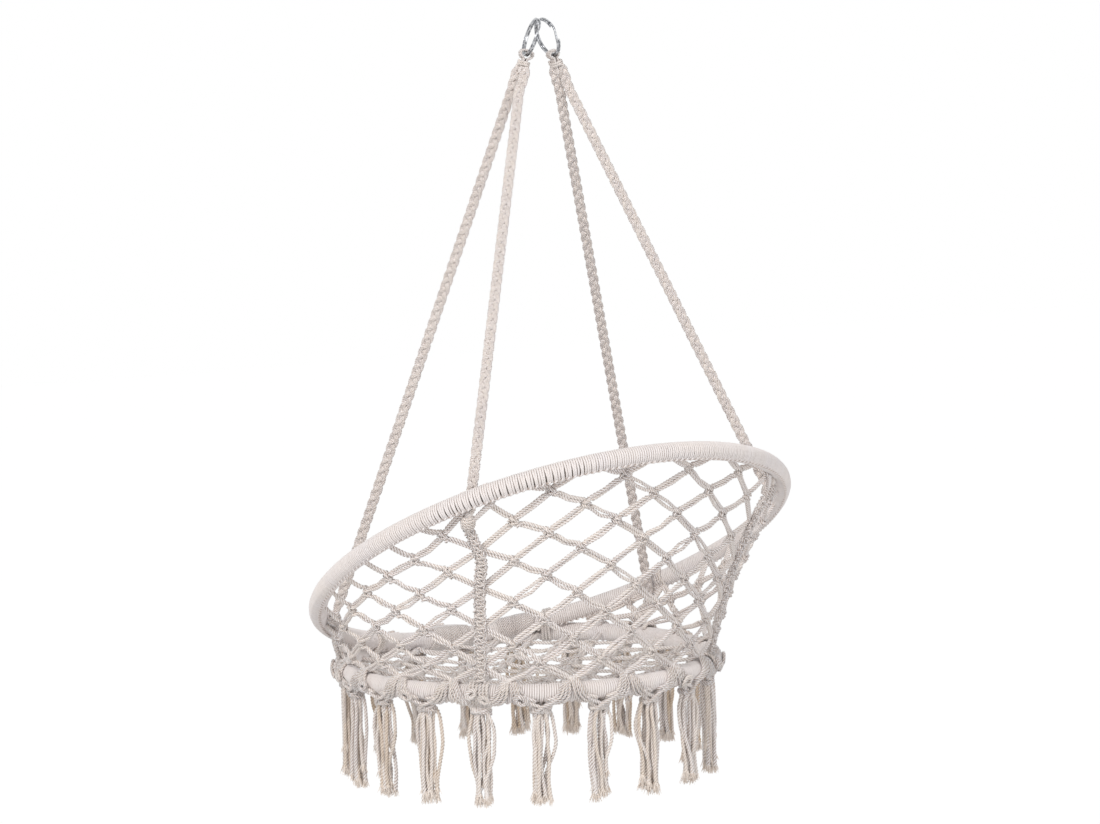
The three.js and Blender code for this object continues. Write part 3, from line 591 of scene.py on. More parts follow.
upper_hoop = Hoop(378 * mm, 30.6, seat_centre + np.array([0, 76.2028, 189.2]) * mm)
seat_hoop = Hoop(290 * mm, 1.8, seat_centre)
wrap_reach = 14.5 * mm
quarters = (
    ("front_left", -27, rings["left"], -1),
    ("rear_left", 45, rings["left"], 1),
    ("front_right", 207, rings["right"], -1),
    ("rear_right", 135, rings["right"], 1),
)


def across(direction, axis):
    return unit(direction - axis * np.dot(direction, axis))


def between(t, start, end, first, second):
    """A point on the line from the first to the second, at a time from start to end."""
    return (end - t) / (end - start) * first + (t - start) / (end - start) * second


def even_points(points, step):
    """Points a step apart on a smooth curve through the given ones, with the ways along it."""
    ends = [2 * points[0] - points[1], *points, 2 * points[-1] - points[-2]]
    dense = []
    for four in zip(ends, ends[1:], ends[2:], ends[3:]):
        times_there = [0]
        for a, b in zip(four, four[1:]):
            times_there.append(times_there[-1] + np.linalg.norm(b - a) ** 0.5)
        t0, t1, t2, t3 = times_there
        for t in np.linspace(t1, t2, 60, endpoint=False):
            a = [between(t, *times_there[i:i + 2], *four[i:i + 2]) for i in range(3)]
            b = between(t, t0, t2, a[0], a[1]), between(t, t1, t3, a[1], a[2])
            dense.append(between(t, t1, t2, *b))
    dense = np.array([*dense, points[-1]])
    reached = np.concatenate([[0], np.cumsum(np.linalg.norm(np.diff(dense, axis=0), axis=1))])
    marks = np.linspace(0, reached[-1], max(2, int(round(reached[-1] / step)) + 1))
    even = np.array([np.interp(marks, reached, dense[:, k]) for k in range(3)]).T
    ways = np.gradient(even, axis=0)
    return even, ways / np.linalg.norm(ways, axis=1)[:, None], marks


# the net draws the two rear knots towards the front of the chair, and the left front one to the hoop
knot_shifts = {"front_left": 0, "rear_left": -13 * mm, "front_right": 0, "rear_right": 10 * mm}
knot_inset = 18 * mm
knot_drop = 22 * mm
knot_clearance = 27 * mm
least_knot_drop = 26.8 * mm
rope_end_gap = 12.3 * mm
head_apart = 4 * mm
head_drop = 14.5 * mm
head_depth = 5 * mm
bend_drop = 59.3 * mm
bend_depth = 8.3 * mm
below_head_drop = 14 * mm
bend_run = 24 * mm
rope_routes = {}
for name, angle, ring, way in quarters:
    on_upper = upper_hoop.point(angle)
    down = unit(seat_hoop.point(angle) - on_upper)
    backwards = ring["depth"] * math.copysign(1, ring["depth"][1]) * way
    aside = ring["axis"] * head_apart * -way
    start = ring["bottom"] - ring["up"] * head_drop + backwards * head_depth + aside * 0.7
    bend = ring["bottom"] - ring["up"] * bend_drop + backwards * bend_depth + aside
    tangent = upper_hoop.tangent(angle)
    cosine = np.dot(across(unit(on_upper - bend), tangent), across(down, tangent))
    clear = max(least_knot_drop, knot_clearance / math.sin(math.acos(cosine)))
    knot = on_upper + down * clear / math.sqrt(1 - np.dot(down, tangent) ** 2) + tangent * knot_shifts[name]
    drawn_in = np.zeros(3)
    if name == "front_left":
        drawn_in = -upper_hoop.outward(angle) * knot_inset
        knot = on_upper + down * knot_drop + drawn_in
    arriving = unit(knot - bend)
    below_head = start - ring["up"] * below_head_drop + aside * 0.6
    rope_routes[name] = {
        "path": [start, below_head, bend, bend + arriving * bend_run, knot - arriving * rope_end_gap],
        "knot": knot, "down": down, "arriving": arriving, "angle": angle, "drawn_in": drawn_in,
    }

plait_period = 47 * mm
plait_sway = 5 * mm
plait_lift = 2.5 * mm
plait_cord = 3.7 * mm
strand_spread = 2.45 * mm
middle_cord_lift = 0.6 * mm
plait_step = 3 * mm
head_length = 14 * mm
facing_camera = unit(np.cross([0, 0, 1], view_back))
for name, rope in rope_routes.items():
    middle, ways, marks = even_points(rope["path"], plait_step)
    routes = []
    offset = random.random()
    for strand in range(3):
        for cord in (-1, 0, 1):
            line = []
            for point, along, mark in zip(middle, ways, marks):
                sideways = across(facing_camera, along)
                phase = 2 * math.pi * (mark / plait_period + strand / 3 + offset)
                gather = min(1, mark / head_length, (marks[-1] - mark) / head_length) * 0.45 + 0.55
                x = plait_sway * math.sin(phase) + cord * strand_spread * (0.55 + 0.45 * abs(math.cos(phase)))
                y = plait_lift * math.sin(2 * phase)
                if cord == 0:
                    y += middle_cord_lift * math.sin(2 * phase + 0.6)
                line.append(point + (sideways * x + np.cross(along, sideways) * y) * gather)
            routes.append(line)
    lay_cords("plaited_rope_" + name, routes, plait_cord, replaced=["rope_" + name])

# Rope knots
# Each rope ends in a hard knot under the upper hoop: one cord is wound four and a half times round the
# others. Three cords on each side of it go over the hoop and hold the knot there.
knot_cord = 5.2 * mm
knot_turns = 4.5
knot_steps = 16
rope_knot_radius = 12 * mm
core_reach = 3 * mm
core_half_length = 15 * mm
hitch_shifts = {"front_left": -9, "rear_left": 0, "front_right": 8, "rear_right": 0}
hitch_reach = wrap_reach + 2.6 * mm
hitch_turns = (236, 205, 172, 138, 108)
hitch_asides = (-21, -16, -11, 11, 16, 21)
hitch_gather_share = 0.3
for name, rope in rope_routes.items():
    axis, knot = rope["down"], rope["knot"]
    side = across(upper_hoop.tangent(rope["angle"]), axis)
    third = np.cross(axis, side)
    widest = rope_knot_radius - knot_cord / 2
    line = []
    count = int(knot_turns * knot_steps)
    for i in range(count + 1):
        a = 2 * math.pi * knot_turns * i / count
        height = (i / count - 0.5) * 2 * widest
        reach = widest * math.sqrt(max(0.12, 1 - (height / rope_knot_radius) ** 2 * 0.8))
        line.append(knot + swung(side, third, a) * reach + axis * height)
    routes = [line]
    for s, u in ((-1, 0), (1, 0), (0, 1), (0, -1)):
        shift = (side * s + third * u) * core_reach
        core = [knot - rope["arriving"] * core_half_length, knot, knot + axis * core_half_length]
        routes.append([point + shift for point in core])
    hitch_angle = rope["angle"] + hitch_shifts[name]
    for aside in hitch_asides:
        over = [upper_hoop.round_tube(hitch_angle, aside * mm, turn, hitch_reach) for turn in hitch_turns]
        routes.append([knot + side * aside * hitch_gather_share * mm, *over])
    lay_cords("rope_knot_cords_" + name, routes, knot_cord, replaced=["rope_knot_" + name])

# Stays
# From each knot a flat sennit of square knots goes down to the seat hoop: two cords at the edges are
# tied over and under the three cords in the middle, again and again.
stay_cord = 5.4 * mm
stay_half = 7.6 * mm
stay_lift = 4.4 * mm
stay_core_pitch = 4.4 * mm
stay_knot_pitch = 12.4 * mm
stay_head_drop = 11 * mm
stay_bend = 5 * mm
stay_bend_drop = 64 * mm
stay_bend_spread = 26 * mm
waist = 14 * mm
waist_length = 380 * mm


def drawn_to_waist(share, length):
    """How far the side of the chair is drawn in, at a share of the way up from the seat hoop."""
    return waist * min(1, length / waist_length) * math.sin(math.pi * max(0, min(1, share)))


def square_knots(origin, side, up, normal, length, pitch, half, lift):
    """The two working cords of a row of square knots that climbs from the origin."""
    count = max(2, int(round(length / pitch * 8)))
    front, back = [], []
    for i in range(count + 1):
        swing = half * math.cos(math.pi * i / 4)
        edge = math.cos(math.pi * i / 2)
        middle = origin + up * (length * i / count)
        front.append(middle - side * swing + normal * lift * (0.55 - 0.45 * edge))
        back.append(middle + side * 1.06 * swing + normal * lift * (edge * 0.95 - 0.1))
    return front, back


for name, rope in rope_routes.items():
    angle, down, shift = rope["angle"], rope["down"], knot_shifts[name]
    tangent, outward = seat_hoop.tangent(angle), seat_hoop.outward(angle)
    landing = (20.1 + 4.5 * abs(np.dot(down, outward))) * mm
    foot = seat_hoop.point(angle) - down * landing / math.sqrt(1 - np.dot(tangent, down) ** 2)
    head = rope["knot"] - tangent * shift - rope["drawn_in"] + down * stay_head_drop
    side = across(tangent, down)
    normal = np.cross(side, -down)
    normal = normal * math.copysign(1, np.dot(normal, outward))
    length = np.linalg.norm(head - foot)
    routes = [*square_knots(foot, side, -down, normal, length, stay_knot_pitch, stay_half, stay_lift)]
    for x in (-stay_core_pitch, 0, stay_core_pitch):
        routes.append([foot - down * length * share + side * x for share in np.linspace(0, 1, 24)])
    bend = math.copysign(stay_bend, -shift) if shift else 0
    for line in routes:
        for i, point in enumerate(line):
            below = length - np.dot(point - foot, -down)
            pull = max(0, 1 - below / stay_bend_drop) ** 2
            pushed = bend * math.exp(-((below - stay_bend_drop) / stay_bend_spread) ** 2)
            inwards = normal * drawn_to_waist(1 - below / length, length)
            line[i] = point + side * (shift * pull + pushed) + rope["drawn_in"] * pull - inwards
    lay_cords("stay_cords_" + name, routes, stay_cord, replaced=["stay_" + name])

# Cord wound on the hoops
# Each tube is covered by one thin cord wound tightly from end to end, with a line of half hitches along
# its underside. Where the winding is slack, two or three turns crowd together and leave a slit.
winding_cord = 3.75 * mm
winding_pitch = 3.6 * mm
hitch_cord = 3.4 * mm
hitch_pitch = 9.7 * mm
hitch_radius = 1.6 * mm
hitch_turn = math.radians(-84)
hitch_depth = 13.2 * mm
winding_sides = 8
straight_lay = 1000.0  # so long that the cord doesn't turn
turns_a_slit = 2.7
slit_turn = math.radians(54)

winding_tree, nodes, given = new_tree("cord winding", {
    "Line radius": 0.3, "Line height": 0.0, "Winding radius": 0.0127, "Turns": 500, "Points a turn": 14,
    "Cord diameter": 0.0037, "Slack": 0.001, "Slackest": 1.0, "Tilt": 0.0, "Centre": (0.0, 0.0, 0.0),
})


def noise_by(turn):
    """Noise along the winding."""
    return nodes.add("ShaderNodeTexNoise", {"W": turn, "Scale": 1.0}, noise_dimensions="1D")


count = given["Turns"] * given["Points a turn"]
line = nodes.add("GeometryNodeMeshLine", {"Count": count + 1})
index = nodes.add("GeometryNodeInputIndex")
turn = index / given["Points a turn"]
slow = noise_by(turn * 0.016)
place_round = index / count * (2 * math.pi) + math.pi / 2
slack_part = ((place_round - given["Slackest"]).cosine() * 14 - 12.6).held()
looseness = ((slow - 0.42) * 5).held() * 0.3 + slack_part * 0.7
around_tube = turn * (2 * math.pi)
lower_outside = ((around_tube + slit_turn).cosine() * 0.5 + 0.5) ** 7
grouped = (turn * (2 * math.pi / turns_a_slit)).sine() * 0.5 + (noise_by(turn * 0.3) - 0.5) * 1.6
around_hoop = place_round + grouped * given["Slack"] * looseness * lower_outside / given["Line radius"]
tightness = given["Winding radius"] * (1 + (noise_by(turn * 0.8 + 40) - 0.5) * 0.05)
reach = given["Line radius"] + around_tube.cosine() * tightness
height = given["Line height"] + around_tube.sine() * tightness
spot = nodes.vector(reach * around_hoop.cosine(), reach * around_hoop.sine(), height)
wound = nodes.add("GeometryNodeSetPosition", {"Geometry": line, "Position": spot})
toned = stored(nodes, stored(nodes, wound, "girth", 1.0), "tone", slow)
step_length = given["Winding radius"] * (2 * math.pi) / given["Points a turn"]
corded = nodes.add("GeometryNodeGroup", {
    "Geometry": toned, "Diameter": given["Cord diameter"], "Lay": straight_lay, "Spacing": step_length,
    "Ply depth": 0.0, "Sides": winding_sides, "Material": given["Material"],
}, node_tree=cord_tree)
x, y, z = nodes.parts(nodes.add("GeometryNodeInputPosition"))
# crest is 1 on the outer side of the wound cord and 0 where it dips towards the tube between turns; the
# cotton material paints shade where it is low
across_hoop = (x ** 2 + y ** 2) ** 0.5 - given["Line radius"]
from_line = (across_hoop ** 2 + (z - given["Line height"]) ** 2) ** 0.5
crest = (from_line - given["Winding radius"]) / (given["Cord diameter"] * 0.5)
placed = nodes.add("GeometryNodeTransform", {
    "Geometry": stored(nodes, corded, "crest", crest.held()),
    "Rotation": nodes.vector(given["Tilt"]), "Translation": given["Centre"],
})
end_tree(nodes, placed, given["Material"])

# the second colour is the painted shade between turns and between plies
wound_pale, wound_groove_shade = (0.88, 0.835, 0.835, 1), (0.42, 0.33, 0.28, 1)
wound_cotton = cotton("cotton cord wound on a hoop", wound_pale, wound_groove_shade, wound=True)
for prefix, hoop, slack, slackest in (
    ("upper_hoop", upper_hoop, 2.1 * mm, 54),
    ("seat_hoop", seat_hoop, 0.9 * mm, 40),
):
    round_length = 2 * math.pi * hoop.radius
    windings = {
        "winding": {
            "Line radius": hoop.radius, "Line height": 0.0, "Winding radius": wrap_reach - winding_cord / 2,
            "Turns": int(round(round_length / winding_pitch)), "Points a turn": 14,
            "Cord diameter": winding_cord, "Slack": slack,
        },
        "hitches": {
            "Line radius": hoop.radius + hitch_depth * math.cos(hitch_turn),
            "Line height": hitch_depth * math.sin(hitch_turn), "Winding radius": hitch_radius,
            "Turns": int(round(round_length / hitch_pitch)), "Points a turn": 12,
            "Cord diameter": hitch_cord, "Slack": 0.0,
        },
    }
    for word, settings in windings.items():
        name = f"{prefix}_{word}"
        piece = linked(name, bpy.data.meshes.new(name))
        with_tree(piece, winding_tree, {
            **settings, "Slackest": math.radians(slackest), "Tilt": hoop.tilt, "Centre": tuple(hoop.centre),
            "Material": wound_cotton,
        })
        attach(piece, "chair")
        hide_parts(prefix + "_wrap")

# Side nets
# Pairs of cords cross the side in a lattice of diamonds and are tied in a square knot where two pairs
# meet. They hang from the upper hoop, pass through the stays and are tied to the seat hoop.
columns_a_turn = 40
column_angle = 360 / columns_a_turn
first_column = -5
last_column = columns_a_turn // 2 - first_column
stay_columns = (-3, 5, 15, 23)
half_row_counts = (3, 3.6, 4.3, 5, 5.9, 6.4, 7.2, 8.2, 9.1, 9.5, 10)
net_cord = 5.3 * mm
pair_half = 2.75 * mm
core_half = 2.5 * mm
knot_half = 6.4 * mm
knot_lift = 4.7 * mm
knot_height = 14 * mm
port_reach = 12.5 * mm
port_half_share = 0.95
landing_half_share = 0.9
first_knot_height = 25 * mm
last_knot_gap = 29 * mm
junction_lift = 4.6 * mm
crossing_turn = 78
link_sag = 2 * mm
hoop_landing = 11 * mm
hoop_shift = 5 * mm
corner_signs = {"up_left": 1, "down_right": 1, "up_right": -1, "down_left": -1}


def side_place(column, row):
    """Where a knot of the side net sits, whether it clears the upper hoop, and its directions."""
    mirrored = columns_a_turn // 2 - column if column > columns_a_turn // 4 else column
    rows = half_row_counts[max(0, min(mirrored - first_column, len(half_row_counts) - 1))]
    angle = column * column_angle
    low, high = seat_hoop.point(angle), upper_hoop.point(angle)
    length = np.linalg.norm(high - low)
    height = max(first_knot_height, length * (row + 0.3) / (rows + 0.1))
    up = unit(high - low)
    normal = across(upper_hoop.outward(angle), up)
    at = low + up * height - normal * drawn_to_waist(height / length, length)
    return {"at": at, "fits": length - height > last_knot_gap, "up": up, "normal": normal}


def step_of(corner):
    """The columns and rows from a knot to its neighbour at a corner."""
    return 1 if corner.endswith("right") else -1, 1 if corner.startswith("up") else -1


def knot_routes(node, ends, half, lift, turned):
    """The four cords of one square knot, out to the middle of each pair of cords that leaves it.

    ends holds, for each corner, the points where its two cords leave the knot and meet the next knot's."""
    at, side, up = node["at"], np.cross(node["up"], node["normal"]), node["up"]
    foot = at - up * knot_height / 2
    front, back = square_knots(foot, side, up, node["normal"] * turned, knot_height, knot_height, half, lift)
    cores = []
    for x in (-core_half, core_half):
        cores.append([point + side * x for point in (foot, at, foot + up * knot_height)])
    routes = []
    for cord, middles in ((1, (front, back)), (0, cores)):
        for way, middle in zip(("left", "right"), middles):
            low, high = (ends.get(f"{word}_{way}", [[], []])[cord] for word in ("down", "up"))
            routes.append([*reversed(low), *middle, *high])
    return routes


net_nodes = {}
for column in range(first_column, last_column + 1):
    row = abs(column) % 2
    while side_place(column, row)["fits"]:
        net_nodes[column, row] = side_place(column, row)
        row += 2
    if (column, 0) in net_nodes:
        # the lowest place isn't a knot: there the cords cross and go over the seat hoop
        crossing = seat_hoop.round_tube(column * column_angle, 0, crossing_turn, wrap_reach + junction_lift)
        net_nodes[column, 0]["at"] = crossing

links = {}


def pair_middle(key, other, here, there, normal):
    """The place half way between two knots, and how far off it the pair's two cords run."""
    ordered = tuple(sorted((key, other)))
    if ordered not in links:
        twist, opening = random.uniform(-0.7, 0.7), 1 + 0.7 * random.random() ** 3
        links[ordered] = twist, opening, random.uniform(-0.4, 1.6)
    twist, opening, sag = links[ordered]
    left = np.cross(normal, unit(there - here))
    flip = 1 if ordered[0] == key else -1
    offset = swung(left, normal * flip, twist) * pair_half * opening
    return (here + there) / 2 - np.array([0, 0, 1]) * link_sag * sag, offset


panels = ("net_front_left", "net_left", "net_rear", "net_right", "net_front_right")
panel_routes = {name: [] for name in panels}
for (column, row), node in net_nodes.items():
    if column in stay_columns or row == 0:
        continue
    ends = {}
    for corner, outer in corner_signs.items():
        step, rise = step_of(corner)
        other = (column + step, row + rise)
        if not first_column <= other[0] <= last_column:
            continue
        if other in net_nodes:
            there = net_nodes[other]["at"]
        else:
            angle = other[0] * column_angle
            hoop_point = upper_hoop.point(angle) - upper_hoop.tangent(angle) * step * hoop_shift
            there = hoop_point + unit(node["at"] - hoop_point) * hoop_landing
        way = unit(there - node["at"])
        left = np.cross(node["normal"], way)
        if other in net_nodes and other[0] not in stay_columns:
            normal = unit(node["normal"] + net_nodes[other]["normal"])
            middle, offset = pair_middle((column, row), other, node["at"], there, normal)
        else:
            middle, offset = there, left * pair_half * landing_half_share
        port = node["at"] + unit(way + node["up"] * rise * 0.12) * port_reach
        ends[corner] = []
        for sign in (-outer, outer):
            line = [port + left * sign * pair_half * port_half_share, middle + offset * sign]
            if other not in net_nodes:
                line.insert(1, (line[0] + line[1]) / 2 - np.array([0, 0, 1]) * link_sag * 0.5)
            ends[corner].append(line)
    turned = 1 if (column + row // 2) % 3 else -1
    panel = panels[sum(column > stay for stay in stay_columns)]
    panel_routes[panel] += knot_routes(node, ends, knot_half, knot_lift, turned)
for name, routes in panel_routes.items():
    lay_cords(name + "_cords", routes, net_cord, replaced=[name])

# Seat net
# The seat is the same cord, in pairs tied corner to corner in square meshes across the seat hoop. Under
# the front of the upper hoop it dips out of the way.
mesh_half = 38 * mm
seat_cord = 5.2 * mm
seat_pair_half = 2.7 * mm
seat_knot_half = 6.2 * mm
seat_knot_lift = 4.4 * mm
seat_reach = 8
seat_edge = 29 * mm
seat_landing = 9 * mm
seat_sag = 18 * mm
front_of_seat = -150 * mm
front_cord_step = 6 * mm
hoop_clearance = wrap_reach + 3.2 * mm


def seat_point(i, j):
    flat = np.array([1, 0, 0]) * i * mesh_half + seat_hoop.rearward * j * mesh_half
    sag = seat_sag * (1 - np.dot(flat, flat) / seat_hoop.radius ** 2)
    return seat_hoop.centre + flat - seat_hoop.normal * sag


def inside_seat(i, j):
    return math.hypot(i, j) * mesh_half < seat_hoop.radius - seat_edge


def off(vector, axis):
    """The part of a vector that is square to an axis."""
    return vector - axis * np.dot(vector, axis)


def kept_below(points, hoop):
    """Points moved down off a hoop's tube where they would run through it."""
    escape = -seat_hoop.normal
    moved = []
    for point in points:
        nearest = hoop.centre + unit(off(point - hoop.centre, hoop.normal)) * hoop.radius
        away = point - nearest
        if np.linalg.norm(away) < hoop_clearance:
            sideways = off(away, escape)
            drop = math.sqrt(max(0, hoop_clearance ** 2 - np.dot(sideways, sideways)))
            point = nearest + sideways + escape * drop
        moved.append(point)
    return moved


def finely(points, step):
    """The same line with more points."""
    fine = [points[0]]
    for a, b in zip(points, points[1:]):
        pieces = max(1, int(math.ceil(np.linalg.norm(b - a) / step)))
        fine += [a + (b - a) * k / pieces for k in range(1, pieces + 1)]
    return fine


routes = []
for i in range(-seat_reach, seat_reach + 1):
    for j in range(-seat_reach, seat_reach + 1):
        if (i + j) % 2 or not inside_seat(i, j):
            continue
        here = seat_point(i, j)
        node = {"at": here, "up": seat_hoop.rearward, "normal": seat_hoop.normal}
        ends = {}
        for corner, outer in corner_signs.items():
            di, dj = step_of(corner)
            there = seat_point(i + di, j + dj)
            way = unit(there - here)
            left = np.cross(seat_hoop.normal, way)
            if inside_seat(i + di, j + dj):
                keys = (100 + i, j), (100 + i + di, j + dj)
                middle, offset = pair_middle(*keys, here, there, seat_hoop.normal)
            else:
                # the way on to the seat hoop
                flat = off(here - seat_hoop.centre, seat_hoop.normal)
                level = unit(off(way, seat_hoop.normal))
                forward = np.dot(flat, level)
                distance = math.sqrt(forward ** 2 + seat_hoop.radius ** 2 - np.dot(flat, flat)) - forward
                middle = seat_hoop.centre + flat + level * (distance - seat_landing)
                offset = left * seat_pair_half
            port = here + way * port_reach
            ends[corner] = [
                [port + left * sign * seat_pair_half, middle + offset * sign] for sign in (-outer, outer)
            ]
        turned = 1 if (i + j // 2) % 2 else -1
        for line in knot_routes(node, ends, seat_knot_half, seat_knot_lift, turned):
            if min(point[1] for point in line) < front_of_seat:
                line = kept_below(finely(line, front_cord_step), upper_hoop)
            routes.append(line)
lay_cords("seat_net_cords", routes, seat_cord, replaced=["seat_net"])

# Lashings and the binding of the front
# The upper hoop lies against the inside of the seat hoop at two places near the front, and three turns
# of cord hold them together at each. Between them two closer bindings fan over both hoops.
lashing_cord = 4.8 * mm
lashing_pitch = 5.4 * mm
lashing_turns = 3
lashing_reach = wrap_reach + 1.4 * mm
contact_angle = -53
loop_steps = 24


def round_both(angle, aside, step, reach):
    """A place on a loop round both hoops at once, near an angle of the seat hoop."""
    low = seat_hoop.point(angle + math.degrees(aside / seat_hoop.radius))
    local = low - upper_hoop.centre
    high = upper_hoop.point(math.degrees(math.atan2(np.dot(local, upper_hoop.rearward), local[0])))
    lengthways = seat_hoop.tangent(angle)
    apart = across(high - low, lengthways)
    third = np.cross(lengthways, apart)
    step = step % loop_steps
    half_loop = loop_steps // 2 - 1
    on_high = step <= half_loop
    turn = math.pi * (step if on_high else step - 1) / half_loop
    return (high if on_high else low) + swung(third, apart, turn) * reach


for name, angle in (("left", contact_angle), ("right", -180 - contact_angle)):
    line = []
    for i in range(lashing_turns * loop_steps + 1):
        aside = i * lashing_pitch / loop_steps - lashing_turns * lashing_pitch / 2
        line.append(round_both(angle, aside, i, lashing_reach))
    lay_cords("lashing_cord_" + name, [line], lashing_cord, replaced=["lashing_" + name])

binding_cord = 4.4 * mm
binding_pitch = 3.9 * mm
binding_reach = wrap_reach + 1.9 * mm
binding_bulge_share = 0.1
binding_fan = 11 * mm
bindings = ((237.5, 251, 1), (263, 279, -1))
routes = []
for begin, end, leaning in bindings:
    length = math.radians(end - begin) * seat_hoop.radius
    steps = int(length / binding_pitch) * loop_steps
    line = []
    for i in range(steps + 1):
        share = i / steps
        bulge = 1 + binding_bulge_share * math.sin(math.pi * share) ** 0.8
        fan = binding_fan * leaning * math.cos(2 * math.pi * i / loop_steps) * (share - 0.35)
        line.append(round_both(begin, share * length + fan, i, binding_reach * bulge))
    routes.append(line)
lay_cords("front_binding_cords", routes, binding_cord)

# Tassels
# The side net's cords cross on top of the seat hoop, pass over its outside and run along under it to both
# sides, where each bundle is bound in a knot. The ends hang loose as a tassel of a dozen or so, frayed at
# the tips. Here and there a cord's end is coiled up flat on the hoop.
tassel_count = 20
tassel_cord = 5.3 * mm
tassel_length = 166 * mm
gather_depth = 21.5 * mm
rim_reach = wrap_reach + 2.5 * mm
cross_lift = 4.4 * mm
cords_a_side = 4
coil_reach = rim_reach + 5.6 * mm
# these four are in plain millimetres
neck_half_width = 14.6
neck_half_depth = 9.4
root_half_width = 12
root_half_depth = 6.6
neck_steps = 14
coil_steps = 26
coil_steps_a_turn = 14
hang_shares = (0, 0.05, 0.12, 0.2, 0.3, 0.41, 0.53, 0.66, 0.8, 0.92, 1.0)
tassel_ply_depth = 0.25
rear_from = 0.2  # how far a tassel faces away from the camera when it counts as a rear one
# tassels facing away from the camera get browner cords, as painted shade
rear_painted_shade_tone = 2.2
front_tone = 1.8


def round_rim(angle, places):
    """A line over the seat hoop. Each place has a distance aside, a turn and a lift, in millimetres."""
    line = []
    for aside, turn, lift in places:
        line.append(seat_hoop.round_tube(angle, aside * mm, turn, rim_reach + lift * mm))
    return line


def swag(column, side, k):
    """A cord from the net over the seat hoop at one column, and along under it towards a tassel."""
    angle = column * column_angle
    over = cross_lift / mm if (side > 0) == (column % 4 == 0) else 0
    neighbour = (column - side if column - side <= last_column else column - side - columns_a_turn, 1)
    here = (column if column <= last_column else column - columns_a_turn, 0)
    line = []
    if k < 2 and here in net_nodes and neighbour in net_nodes:
        at, above = net_nodes[here], net_nodes[neighbour]
        if neighbour[0] in stay_columns:
            line.append(above["at"] + above["up"] * (k - 0.5) * 6 * mm)
            line.append((above["at"] + at["at"]) / 2 + at["up"] * (k - 0.5) * 5 * mm)
        else:
            normal = unit(at["normal"] + above["normal"])
            middle, offset = pair_middle(here, neighbour, at["at"], above["at"], normal)
            line.append(middle + offset * (side if k == 0 else -side))
    elif here in net_nodes:
        line += round_rim(angle, ((side * (1 + 3.2 * k), 128, 0), (side * (0.4 + 3.2 * k), 104, 0)))
    return line + round_rim(angle, (
        (side * (3.4 * k - 1.4), crossing_turn, over),
        (side * (2.4 + 3.7 * k), 50, over * 0.4),
        (side * (3.4 + 4.9 * k), 14, 0),
        (side * (6.5 + 6 * k), 2 * k - 22, 0),
        (side * (15 + 6.5 * k), 9 * k - 56, 0),
        (side * (28 + 3 * k), 13 * k - 70, 0),
    ))


def flat_coil(angle, aside, turn, tilt, size):
    """A cord's end coiled up flat on the outside of the seat hoop."""
    coil = []
    for k in range(coil_steps):
        a = 2 * math.pi * k / coil_steps_a_turn
        width = size * (1 - 0.52 * k / (coil_steps - 1))
        x, h = width * math.cos(a), 0.6 * width * math.sin(a)
        climb = math.degrees((x * math.sin(tilt) + h * math.cos(tilt)) / rim_reach)
        shift = x * math.cos(tilt) - h * math.sin(tilt)
        coil.append(seat_hoop.round_tube(angle, aside + shift, turn + climb, coil_reach))
    return coil


